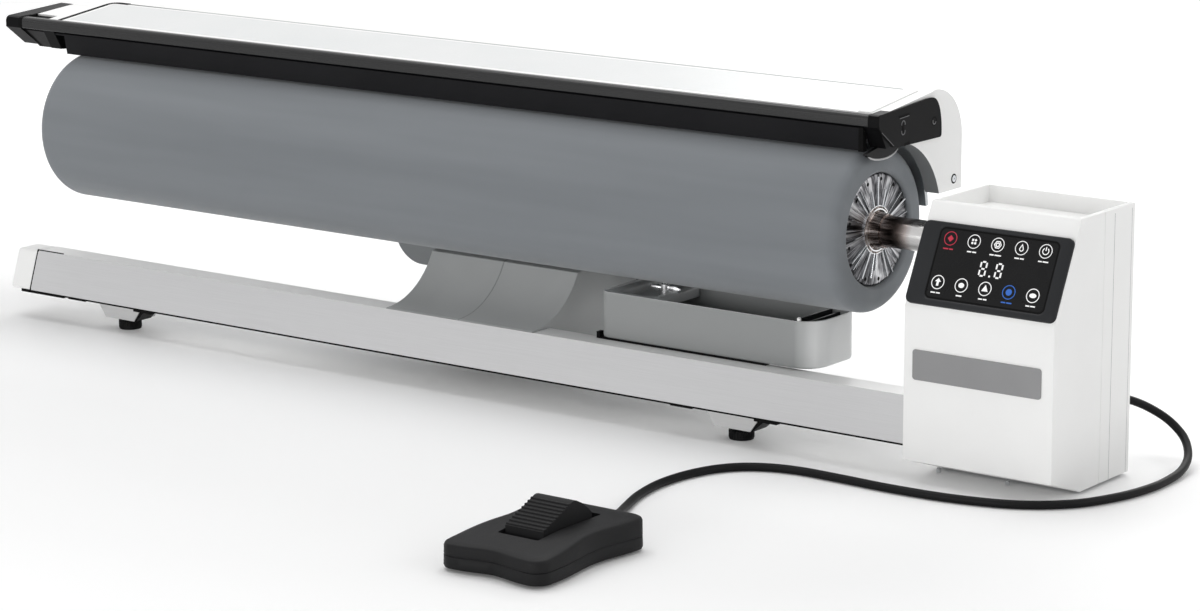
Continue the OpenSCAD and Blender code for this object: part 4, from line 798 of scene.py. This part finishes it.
def add_blank_plate():
    face = Face("front_plate", (0, -1, 0))
    shape = Shape()
    shape.plate(face, round_outline(0, 0.6, face.width, face.height + 0.6, 3.0), -0.9, 0.1, edge=0.3)
    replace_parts(shape.piece("blank_plate", "base", "grey_label"), "front_plate")


def add_box_trim():
    """The narrow groove lines on the box's right side and the bright screws at its toe."""
    side = Face("box_rear_shell", (1, 0, 0))
    grooves = Shape()
    for y, width in ((17.5, 0.5), (49.5, 0.4)):
        u, v0 = side.seen((0, y, 4.0))
        grooves.bar(side, (u, v0), (u, v0 + 249.0), width, -0.3, 0.05)
    grooves.piece("box_side_seams", "base", "white_abs", SOFT_LINE)
    studs = Shape()
    toe = node_box("box_front_shell")[0]
    for x in (98.0, 172.0):
        studs.turned([(-1.5, 2.2), (2.0, 2.2), (3.0, 1.4)], 20, x, toe.y + 42.0, toe.z, upright=True)
    studs.piece("box_toe_screws", "base", "chrome")


add_blank_plate()
add_box_trim()


# Casing: caps, screws, keyhole and the panel's border

def rounded(points):
    """A closed outline with its corners cut off twice."""
    for _ in range(2):
        cut = []
        for (x0, y0), (x1, y1) in zip(points, points[1:] + points[:1]):
            cut += [(x0 * k + x1 * (1 - k), y0 * k + y1 * (1 - k)) for k in (0.75, 0.25)]
        points = cut
    return points


COVER_T = 0.5


def add_cap_cover():
    """The right cap's moulded face, with softly rounded corners."""
    cap = Face("right_end_cap", (1, 0, 0))
    line = [(-31.9, 313.0), (-31.9, 323.0), (-31.0, 327.2), (-24.0, 327.6), (10.0, 329.4), (48.0, 331.6),
            (60.0, 332.2), (69.0, 330.4), (75.6, 321.5), (78.6, 310.0), (79.4, 300.0), (79.4, 291.8),
            (72.0, 291.9), (21.5, 292.3), (4.0, 292.6), (-4.4, 292.9), (-12.0, 299.5)]
    cover = Shape()
    cover.plate(cap, [cap.seen((0, y, z)) for y, z in rounded(line)], -0.4, COVER_T, edge=0.3)
    cover.piece("right_cap_face", "casing", "black_abs")


def add_cap_details():
    cap = Face("right_end_cap", (1, 0, 0))
    cap.origin += cap.normal * COVER_T
    # Painted light on the cap: the light bars and part rings are painted highlights on the edges of its
    # slots, keyhole, screw and front edge; the dark ones are painted shade inside them
    dark, light = Shape(), Shape()

    def place(y, z):
        return cap.seen((0, y, z))

    dark.bar(cap, place(2.6, 321.0), place(20.5, 321.9), 2.0, -0.2, 0.15)
    light.bar(cap, place(4.0, 319.3), place(20.5, 320.2), 0.7, -0.2, 0.2)
    u, v = place(10.4, 310.0)
    dark.bar(cap, (u, v - 4.2), (u, v + 4.2), 3.2, -0.2, 0.2)
    for rise, start in ((3.6, -20), (-3.6, 160)):
        light.ring(cap, u, v + rise, 2.5, 3.4, -0.2, 0.35, start=start, sweep=220)
    dark.bar(cap, place(13.0, 293.2), place(22.0, 294.6), 2.4, -0.2, 0.15)
    screw = place(65.5, 308.5)
    dark.ring(cap, *screw, 3.2, 4.6, -0.2, 0.1)
    light.ring(cap, *screw, 2.2, 3.2, -0.2, 0.3, start=150, sweep=200)
    dark.bar(cap, place(-28.0, 310.0), place(-6.5, 294.2), 1.2, -0.2, 0.12)
    light.bar(cap, place(-26.6, 310.4), place(-5.6, 295.0), 0.6, -0.2, 0.14)
    dark.piece("cap_slots", "casing", "black_rubber", GAP_SHADE_BLACK)
    light.piece("cap_painted_highlights", "casing", "black_abs", EDGE_HIGHLIGHT_PAINT)


def add_plate_screws():
    """Countersunk screws that hold the end plates to the casing, each in a near-black ring of painted shade
    for its well.
    """
    for name, toward, heights in (("right", 1, (246.7,)), ("left", -1, (246.7, 300.0))):
        face = Face(f"{name}_end_plate", (toward, 0, 0))
        head, well = Shape(), Shape()
        for z in heights:
            u, v = face.seen((0, 106.8, z))
            well.ring(face, u, v, 3.4, 4.8, -0.3, 0.12, steps=32)
            head.ring(face, u, v, 0.9, 3.4, -0.3, 0.45, steps=32)
            head.plate(face, [(u + a, v + b) for a, b in polygon_points(6, 0.9)], -0.3, 0.1)
        well.piece(f"{name}_plate_screw_wells", "casing", "black_rubber", GAP_SHADE_BLACK)
        head.piece(f"{name}_plate_screws", "casing", "chrome")


def add_panel_border():
    """The shadow gap round the flat top panel, on its left and back edges and at its right end."""
    top = Face("top_panel", (0, 0, 1))
    line = Shape()
    left, right, back, front = 1.4, top.width - 12.0, top.height - 1.2, 1.0
    bend = 9.0
    corner = [(left + bend * (1 - math.cos(a)), back - bend * (1 - math.sin(a)))
              for a in (math.radians(d) for d in range(0, 91, 15))]
    route = [(left, front)] + corner + [(right, back)]
    for start, end in zip(route, route[1:]):
        line.bar(top, start, end, 3.0, -0.2, 0.12)
    line.piece("panel_gap_line", "casing", "black_rubber", PANEL_LINE)
    deep = Shape()
    left_end = route[:-1] + [(left + bend + 16.0, back)]
    for start, end in zip(left_end, left_end[1:]):
        deep.bar(top, start, end, 5.4, -0.1, 0.3)
    deep.piece("panel_gap_left", "casing", "black_rubber", GAP_SHADE_BLACK)
    band = Shape()
    band.plate(top, round_outline(left + 8, 7.0, right - 2, back - 5.0, 3.0), -0.1, 0.15, edge=0.1)
    band.piece("panel_inlay", "casing", "white_enamel", PANEL_INLAY)
    strip = Shape()
    strip.plate(top, round_outline(right, 1.0, top.width + 3.0, top.height - 2.0, 1.4), -0.2, 1.4, edge=0.8)
    strip.piece("panel_end_strip", "casing", "white_enamel")


def add_left_cap_gaps():
    """The dark gap between the left cap's band and the bar, a black piece of painted shade, and the white
    sheet behind it.
    """
    (x, y0, z0), (_, y1, z1) = node_box("front_bar")
    gap, sheet = Shape(), Shape()
    nose = [(y0 - 0.4, z0), (y0 - 0.4, z1 - 4.6), (y0 + 1.2, z1 - 1.0), (y0 + 4.8, z1 + 0.4),
            (y1 + 14, z1 + 0.9), (y1 + 14, z1 - 4.0), (y0 + 3.0, z0 - 1.0)]
    gap.loft([[(x + dx, y, z) for y, z in nose] for dx in (-2.4, 2.6)])
    face = Face("left_end_cap", (0, -0.75, -0.66))
    u = face.seen((x, 0, 0))[0]
    gap.bar(face, (u, 0.5), (u, face.height - 0.5), 5.0, -0.3, 0.3)
    gap.piece("left_cap_gap", "casing", "black_rubber", GAP_SHADE_BLACK)
    top = [(-4.0, 327.6), (12.0, 328.9), (54.7, 332.2), (65.7, 330.2), (74.3, 321.6), (78.2, 309.5)]
    inner = [(y - (2.0 if y > 60 else 0.0), z - 2.0) for y, z in top]
    start, end = node_box("left_end_cap")[0].x + 22.4, node_box("left_end_plate")[0].x + 0.3
    sheet.loft([[(x, y, z) for y, z in top + inner[::-1]] for x in (start, end)])
    sheet.piece("left_shoulder_sheet", "casing", "white_enamel")


def add_end_flap():
    """The black flap that hangs from the right cap over the roller's end, with a pale strip along its lower
    edge as a painted highlight on its rim.
    """
    flap, rim = Shape(), Shape()
    rim_line = [(-39.0, 290.2), (-35.0, 287.6), (-30.0, 285.4), (-24.0, 283.8), (-17.0, 282.8), (-9.0, 282.4),
                (-2.0, 282.6), (5.0, 283.6), (11.0, 285.6), (16.0, 288.4)]
    top_line = [(18.0, 293.6), (0.0, 296.5), (-18.0, 294.4), (-38.0, 291.0)]
    flap.loft([[(x, y, z) for y, z in rim_line + top_line] for x in (6.0, 9.6)])
    flap.piece("roller_end_flap", "casing", "black_rubber")
    rim.sweep([(9.4, y, z) for y, z in rim_line[1:]], [0.5, 0.9] + [1.0] * 5 + [0.8, 0.4], steps=12)
    rim.piece("flap_rim_highlight", "casing", "grey_abs", RIM_HIGHLIGHT_PAINT)
    # A near-black block of painted shade at the guard's end
    stop = Shape()
    stop.block((-4.4, -31.0, 291.0), (0.6, -24.0, 314.0))
    stop.piece("guard_end_stop", "casing", "black_rubber", GAP_SHADE_BLACK)


add_cap_cover()
add_cap_details()
add_plate_screws()
add_panel_border()
add_left_cap_gaps()
add_end_flap()


# Roller end: the disc with its ribs, holes and hub

RIB_COUNT = 22
HOLE_COUNT = 13
HOLE_RING_R = 48.3
DISC_OUT = -3.0


def add_disc():
    """The pleated chrome disc in the roller's end, with bright ribs, small holes drawn as dark discs of
    painted shade, and its hub.
    """
    back = node_box("right_end_disc")[1].x
    disc, ribs, holes = Shape(), Shape(), Shape()
    disc.turned([(back - 0.5, 22.0), (back - 0.5, 53.6), (DISC_OUT - 2.2, 54.0), (DISC_OUT - 0.6, 53.2),
                 (DISC_OUT, 51.4), (DISC_OUT, 22.0)], 96, closed=True)
    disc.piece("pleated_disc", "roller", "chrome", pleated_chrome_painted_glints(), 50.0)
    for i in range(RIB_COUNT):
        turn = 2 * math.pi * (i + 0.32 * math.sin(i * 2.4)) / RIB_COUNT
        across, rise = math.sin(turn), math.cos(turn)
        start, end = 22.5, (51.0, 46.0, 52.4, 39.0, 50.0)[(i * 3) % 5]
        half = (0.55, 0.8, 0.42)[i % 3]
        ribs.loft([[(DISC_OUT + out, across * r + rise * s, AXIS_H + rise * r - across * s)
                    for r, s in ((start, -thick), (end, -thick), (end, thick), (start, thick))]
                   for out, thick in ((-0.4, half), (1.5, half), (2.1, half * 0.4))])
    for i in range(HOLE_COUNT):
        turn = 2 * math.pi * (i + 0.3) / HOLE_COUNT
        holes.turned([(DISC_OUT - 0.4, 1.9), (DISC_OUT + 0.12, 1.9)], 20,
                     y=HOLE_RING_R * math.sin(turn), z=AXIS_H + HOLE_RING_R * math.cos(turn))
    ribs.piece("disc_ribs", "roller", "chrome")
    holes.piece("disc_holes", "roller", "black_rubber", GAP_SHADE_BLACK)
    hub = Shape()
    beads = ((-0.5, 21.4), (0.2, 22.6), (1.2, 22.6), (1.6, 21.8), (1.4, 20.2), (0.6, 19.4), (1.8, 18.6),
             (2.4, 17.4))
    hub.turned([(back, 21.0)] + [(DISC_OUT + out, r) for out, r in beads]
               + [(6.0, 16.6), (9.0, 16.2), (9.0, 15.0), (back, 15.0)], 72, closed=True)
    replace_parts(hub.piece("turned_hub", "roller", "chrome", REFLECTION_PAINTED_STEEL, 30.0), "hub_collar")
    rims = Shape()
    section = ((-0.6, -0.7), (-0.6, 0.6), (0.6, 0.6), (0.6, -0.7))
    for r, x in ((22.7, DISC_OUT + 0.7), (20.0, DISC_OUT + 1.5)):
        rims.turned([(x + dx, r + dr) for dx, dr in section], 72, closed=True)
    rims.piece("hub_rims", "roller", "chrome", BRIGHT_NICKEL)


add_disc()


# Water tray: shell, shelf cover, partition, peg and knob

TRAY_RADII = (27.0, 20.0, 10.0, 11.0)


def add_tray_body():
    """The tray's thin shell: its right front corner is the widest, and its bottom edge is rounded."""
    low, high = node_box("water_tray")
    tall = high.z - low.z
    steps = ((2.6, 0.0), (1.0, 0.7), (0.2, 1.9), (0.0, 3.2), (0.0, tall - 0.7), (0.25, tall - 0.15),
             (0.7, tall), (1.4, tall), (1.8, tall - 0.2), (2.0, tall - 0.8), (2.0, 3.6), (3.2, 2.2))
    body = Shape()
    body.loft([[(x, y, low.z + z) for x, y in cornered_outline(
        low.x + d, low.y + d, high.x - d, high.y - d, [r - d for r in TRAY_RADII])] for d, z in steps])
    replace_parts(body.piece("tray_shell", "water_tray", "grey_abs", TRAY_LIT_AND_SHADED, 50.0), "water_tray")


def add_tray_fittings():
    low, high = node_box("water_tray")
    rim_z = high.z
    fittings, lid = Shape(), Shape()
    x0, x1, y0, y1 = low.x + 2.1, low.x + 68.0, low.y + 2.1, high.y - 2.1
    radii = (3.0, 3.0, 8.0, 9.0)
    cover = [(cornered_outline(x0 + d, y0 + d, x1 - d, y1 - d, [r - d for r in radii]), z)
             for d, z in ((0.0, rim_z - 10.6), (0.0, rim_z - 2.6), (0.5, rim_z - 1.6), (1.5, rim_z - 1.0))]
    well = [(cornered_outline(x0 + 12 + d, y0 + 9 + d, x1 - 10 - d, y1 - 9 - d, [8.0 - d] * 4), z)
            for d, z in ((0.0, rim_z - 1.0), (0.8, rim_z - 1.4), (1.4, rim_z - 2.4), (1.6, rim_z - 7.9))]
    lid.loft([[(x, y, z) for x, y in line] for line, z in cover + well])
    lid.piece("tray_shelf_cover", "water_tray", "grey_abs")
    wall_x = high.x - 32.0
    fittings.block((wall_x, y0, low.z + 2.2), (wall_x + 1.8, y1, rim_z - 2.5))
    fittings.block((wall_x + 9.0, y0, low.z + 2.2), (wall_x + 10.6, y1, rim_z - 5.0))
    fittings.piece("tray_partition", "water_tray", "bezel_abs")
    peg = Shape()
    peg.turned([(-12.0, 2.0), (2.4, 2.0), (3.2, 1.2)], 16, wall_x + 12.0, low.y + 4.4, rim_z, upright=True)
    peg.piece("tray_peg", "water_tray", "white_abs")


def add_knob():
    """The bright two-lobed knob: a hub between two round lobes, and rings of thread under it."""
    low_z = node_box("wing_nut")[0].z
    cx, cy = node_middle("wing_nut")
    seat = node_box("water_tray")[1].z - 8.0
    knob = Shape()
    hub = ((0.0, 6.6), (2.6, 6.6), (3.2, 4.6), (14.0, 4.2), (14.6, 3.4))
    knob.turned([(seat + z, r) for z, r in hub], 32, cx, cy, 0.0, upright=True)
    thread = [(low_z + 0.5 * i, 2.9 - 0.4 * (i % 2)) for i in range(int((seat - low_z) * 2))]
    knob.turned(thread + [(seat, 2.9)], 20, cx, cy, 0.0, upright=True)
    for side, rx, rz in ((-1, 7.4, 3.6), (1, 8.6, 5.2)):
        loops = []
        for k in range(11):
            along = -1 + 2 * k / 10
            swell = math.sqrt(max(0.0, 1 - along * along * 0.95))
            loops.append([(cx + side * 10.2 + rx * swell * math.cos(a), cy + 2.4 * along,
                           seat + 9.6 + rz * swell * math.sin(a)) for a in turns(32)])
        knob.loft(loops)
    for out in (-1.6, 1.6):
        knob.turned([(seat + 13.6, 0.7), (seat + 16.2, 0.7)], 10, cx + out, cy, 0.0, upright=True)
    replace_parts(knob.piece("tray_knob", "wing_nut", "chrome", BRIGHT_NICKEL, 40.0), "wing_nut")


add_tray_body()
add_tray_fittings()
add_knob()


# Beam: silver front panel, shadow lines, pads and foot details

def add_beam_front():
    front = Face("base_beam", (0, -1, 0.3))
    panel, line = Shape(), Shape()
    left, low_v, high_v = 1.6, 0.8, front.height + 0.4
    outline = round_outline(left, low_v, front.width, high_v, 2.6)
    outline = [(u if u < left + 40 else front.width, v) for u, v in outline]
    panel.plate(front, outline, -0.2, 0.9, edge=0.35)
    panel.piece("beam_front_panel", "base", "beam_aluminium", BEAM_SILVER)
    for start, end, width in (((left - 0.9, low_v - 0.5), (left - 0.9, high_v + 0.3), 1.7),
                              ((left - 1.6, high_v + 0.6), (left + 38.0, high_v + 0.6), 1.3),
                              ((left - 1.6, low_v - 0.9), (front.width, low_v - 0.9), 1.6)):
        line.bar(front, start, end, width, -0.4, 0.5)
    line.piece("beam_shadow_lines", "base", "black_rubber", GAP_SHADE_BLACK)


FRONT_FEET = ("left_front_foot", "right_front_foot")
REAR_FEET = ("left_rear_foot", "right_rear_foot")


def add_beam_pads():
    """Flat black pads under the beam and cap, and the strips beside the foot brackets."""
    low = node_box("base_beam")[0]
    cap_low, cap_high = node_box("beam_end_cap")
    pads = Shape()
    pads.block((cap_low.x + 14.0, low.y + 3.0, low.z - 3.2), (cap_high.x + 24.0, low.y + 24.0, low.z - 0.1))
    for foot in FRONT_FEET:
        middle = node_middle(foot)[0]
        for start, thick in ((36.0, 3.4), (-62.0, 2.2)):
            x = middle + start
            pads.block((x, low.y + 1.0, low.z - thick), (x + 26.0, low.y + 20.0, low.z - 0.1))
    pads.piece("beam_pads", "base", "black_abs")


def add_foot_knurls():
    """Upright ribs round each levelling foot."""
    for foot in FRONT_FEET + REAR_FEET:
        low, high = node_box(foot)
        cx, cy = node_middle(foot)
        r = (high.x - low.x) / 2
        knurl = Shape()
        for turn in turns(28):
            s, c = math.sin(turn), math.cos(turn)
            knurl.loft([[(cx + c * (r + d) - s * w, cy + s * (r + d) + c * w, low.z + z)
                         for d, w in ((-0.5, -0.8), (0.55, -0.45), (0.55, 0.45), (-0.5, 0.8))]
                        for z in (1.4, 9.6)])
        knurl.piece(f"{foot}_knurl", foot, "black_rubber")


def add_bracket_sides():
    """A black wedge on the right flank of each front foot bracket: painted shade for that flank."""
    low, high = node_box("foot_brackets")
    gusset = Shape()
    top = high.z - 0.2
    outline = [(21.3, low.z + 0.2), (35.3, top), (44.0, top), (23.5, low.z + 0.2)]
    for foot in FRONT_FEET:
        middle = node_middle(foot)[0]
        gusset.loft([[(middle + x, y, z) for x, z in outline] for y in (low.y + 0.8, low.y + 24.0)])
    gusset.piece("foot_bracket_painted_shade", "base", "black_abs")


add_beam_front()
add_beam_pads()
add_foot_knurls()
add_bracket_sides()


# Pedestal: the joint line between its two shells

LINE_HALF, LINE_PROUD, LINE_DEPTH = 0.45, 0.12, 0.4


def add_shell_joint():
    """A thin line on the outside of the pedestal, where its two shells meet."""
    x = node_box("pedestal_right_shell")[0].x + 0.6
    cut = bmesh.new()
    cut.from_mesh(nodes["pedestal_right_shell"].data)
    bmesh.ops.remove_doubles(cut, verts=cut.verts, dist=1e-5)
    result = bmesh.ops.bisect_plane(cut, geom=cut.verts[:] + cut.edges[:] + cut.faces[:], dist=1e-6,
                                    plane_co=at(x, 0, 0), plane_no=(1, 0, 0))
    line = Shape()
    for edge in result["geom_cut"]:
        if not isinstance(edge, bmesh.types.BMEdge):
            continue
        a, b = (working(v.co) for v in edge.verts)
        if (b - a).length < 1e-3:
            continue
        out = sum((f.normal for f in edge.link_faces), Vector())
        out = Vector((0.0, out.y, out.z)).normalized()
        lap = (b - a).normalized() * 0.05
        line.loft([[(x + side * LINE_HALF, p.y + out.y * d, p.z + out.z * d)
                    for side, d in ((-1, LINE_PROUD), (1, LINE_PROUD), (1, -LINE_DEPTH), (-1, -LINE_DEPTH))]
                   for p in (a - lap, b + lap)])
    cut.free()
    line.piece("pedestal_joint_line", "base", "grey_abs", SOFT_LINE)


add_shell_joint()


# Foot pedal: a domed body with a waist and a wavy nose, its rocker in a pocket

def add_pedal_body():
    low, high = node_box("pedal_base")
    rocker_low, rocker_high = node_box("pedal_rocker")
    x0, y0, x1, y1 = low.x, low.y, high.x, high.y
    cx, length, half = (x0 + x1) / 2, y1 - y0, (x1 - x0) / 2
    body = cornered_outline(x0, y0, x1, y1, (15.0,) * 4, 8)
    hole = cornered_outline(rocker_low.x + 4.5, rocker_low.y - 9.0, rocker_high.x - 4.5, rocker_high.y + 12.0,
                            (2.0,) * 4, 8)

    def shaped(x, y):
        t = (y - y0) / length
        waist = 7.0 * math.exp(-((t - 0.56) / 0.24) ** 2)
        wave = 6.5 * math.exp(-((x - cx) / (half * 0.42)) ** 2) * max(0.0, 1 - t * 4)
        return cx + (x - cx) * (1 - waist / half), y + wave

    def edge_z(y):
        t = min(max((y - y0) / (length * 0.5), 0.0), 1.0)
        return low.z + 24.5 + 6.0 * t * t * (3 - 2 * t)

    def inward(p, d):
        return p[0] + (cx - p[0]) * d / half, p[1] + ((y0 + y1) / 2 - p[1]) * d / (length / 2)

    body = [shaped(x, y) for x, y in body]
    walls = ((3.0, 2.2), (0.6, 3.0), (0.0, 5.0), (0.2, 13.4), (0.9, 13.9), (0.9, 14.5), (0.2, 15.0))
    loops = [[(*inward(p, d), low.z + z) for p in body] for d, z in walls]
    loops += [[(*inward(p, d), edge_z(p[1]) - drop) for p in body]
              for d, drop in ((0.3, 3.0), (1.0, 1.0), (2.4, 0.0))]
    for t in (0.25, 0.5, 0.75, 0.96):
        ring = []
        for p, q in zip(body, hole):
            x, y = p[0] + (q[0] - p[0]) * t, p[1] + (q[1] - p[1]) * t
            rise = 1.6 * math.sin(math.pi / 2 * min(t * 1.3, 1.0))
            ring.append((x, y, min(edge_z(y) + rise, high.z + 0.9)))
        loops.append(ring)
    top = loops[-1]
    loops += [[(*q, p[2] - drop) for p, q in zip(top, hole)] for drop in (0.0, 0.8)]
    loops.append([(*q, low.z + 13.2) for q in hole])
    shape = Shape()
    shape.loft(loops)
    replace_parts(shape.piece("pedal_body", "base", "pedal_abs", smooth=50.0), "pedal_base")
    pads = Shape()
    for px in (x0 + 20.0, x1 - 20.0):
        for py in (y0 + 22.0, y1 - 22.0):
            pads.turned([(0.0, 7.2), (0.4, 8.0), (2.6, 8.0)], 24, px, py, low.z, upright=True)
    pads.piece("pedal_pads", "base", "black_rubber")


BOOT_LEN = 24.0


def add_boots():
    """Tapered, ribbed boots where the cable enters the pedal and leaves the box."""
    route = [working(p) for p in cable_route()]
    ends = (("pedal_boot", route[::-1], 8.0, 12.0), ("gland_boot", route, 6.6, 11.0))
    for name, places, wide, skip in ends:
        line, radii, along = [], [], 1.5 - skip
        for i, place in enumerate(places):
            if i:
                along += (place - places[i - 1]).length
            if 0 <= along <= BOOT_LEN:
                line.append(place)
                groove = 0.5 * (len(line) % 2)
                radii.append(wide - (wide - CABLE_D / 2 - 0.7) * along / BOOT_LEN - groove)
        tube = Shape()
        tube.sweep(line, radii)
        tube.piece(name, "base", "black_rubber")


add_pedal_body()
add_boots()


# Softened edges on the moulded and bent parts that the frame brings

EDGES = {
    "box_front_shell": 2.4, "box_rear_shell": 2.4, "top_tray": 0.5, "right_end_plate": 1.2,
    "left_end_plate": 1.2, "right_end_cap": 1.0, "left_end_cap": 1.6, "beam_end_cap": 3.0, "base_beam": 1.2,
    "pedestal_left_shell": 1.0, "pedestal_right_shell": 1.0, "rear_housing": 3.0, "front_bar": 1.0,
    "casing_shell": 0.6, "pedal_rocker": 0.7, "foot_brackets": 0.8, "tray_bracket": 0.4, "rear_cover": 1.2,
    "drive_shaft": 0.4, "finger_guard": 1.6, "right_end_disc": 0.25, "rear_foot_bar": 1.0}


def modifier(piece, kind, **settings):
    made = piece.modifiers.new(kind.lower(), kind)
    for name, value in settings.items():
        setattr(made, name, value)


for name, width in EDGES.items():
    modifier(nodes[name], "WELD", merge_threshold=1e-5)
    modifier(nodes[name], "BEVEL", width=width * MM, segments=3, limit_method="ANGLE",
             angle_limit=math.radians(30.0), use_clamp_overlap=True, miter_outer="MITER_ARC")
    modifier(nodes[name], "WEIGHTED_NORMAL", keep_sharp=False)


# Stage: a pale floor that keeps the shadows, and soft light

def camera_or_mirror(tree):
    """The number one where a ray comes from the camera or off a glossy or clear surface."""
    path = add(tree, "LightPath").outputs
    total = path["Is Camera Ray"]
    for ray in ("Is Glossy Ray", "Is Transmission Ray"):
        total = add(tree, "Math", {0: total, 1: path[ray]}, operation="MAXIMUM")
    return total


ROOM_LIGHT = 0.46
FLOOR_HALF = 12.0
FLOOR_GLOW, FLOOR_FADE = 0.03, 0.3


def add_world():
    world = bpy.data.worlds.new("studio")
    world.use_nodes = True
    tree = world.node_tree
    tree.nodes.clear()
    light = add(tree, "Background", {"Color": linear("#ffffff"), "Strength": ROOM_LIGHT})
    seen = add(tree, "Background", {"Color": linear("#ffffff"), "Strength": 1.0})
    mixed = add(tree, "MixShader", {0: camera_or_mirror(tree), 1: light, 2: seen})
    add(tree, "OutputWorld", {"Surface": mixed})
    bpy.context.scene.world = world


def add_floor():
    corners = [(x * FLOOR_HALF, y * FLOOR_HALF, 0) for x, y in ((-1, -1), (1, -1), (1, 1), (-1, 1))]
    mesh = bpy.data.meshes.new("floor")
    mesh.from_pydata(corners, [], [(0, 1, 2, 3)])
    finish = Finish("pale_floor", roughness=0.6, Specular_IOR_Level=0.2, Emission_Color=linear("#ffffff"))
    cloud = finish.add("TexNoise", {"Vector": finish.mm, **blobs(400.0)})
    mesh.materials.append(finish.dressed(cloud, (0.0, 1.0), ("#fafafa", "#fdfdfd")))
    # The backdrop's white: a glow that only the camera and mirrors see, stronger away from the machine
    place = finish.add("Mapping", {"Vector": finish.mm, "Scale": (1 / 1600.0, 1 / 1000.0, 1 / 1000.0)})
    away = finish.add("VectorMath", {0: place}, operation="LENGTH").outputs["Value"]
    fade = finish.add("MapRange", {"Value": away, "From Min": 0.45, "From Max": 1.6,
                                   "To Min": FLOOR_GLOW, "To Max": FLOOR_FADE})
    glow = finish.add("Math", {0: fade, 1: camera_or_mirror(finish.tree)}, operation="MULTIPLY")
    finish.tree.links.new(glow.outputs[0], finish.shader.inputs["Emission Strength"])
    link("floor", mesh)


def add_lamp(name, place, target, width, height, watts):
    data = bpy.data.lights.new(name, "AREA")
    data.shape = "RECTANGLE"
    data.size = width
    data.size_y = height
    data.energy = watts
    link(name, data).matrix_world = aimed(place, target)


add_world()
add_floor()
add_lamp("overhead_softbox", (-0.3, 0.4, 2.6), (0.0, 0.1, 0.1), 2.4, 1.8, 34.0)
add_lamp("front_softbox", (0.1, -3.0, 0.55), (0.0, 0.0, 0.12), 2.4, 0.7, 26.0)
add_lamp("rear_softbox", (-0.4, 2.8, 1.7), (0.0, 0.0, 0.1), 2.4, 1.0, 22.0)
add_lamp("side_softbox", (2.9, 0.5, 1.3), (0.3, 0.0, 0.15), 1.4, 1.0, 11.0)

bpy.context.scene.view_settings.view_transform = "Standard"

bpy.context.view_layer.update()
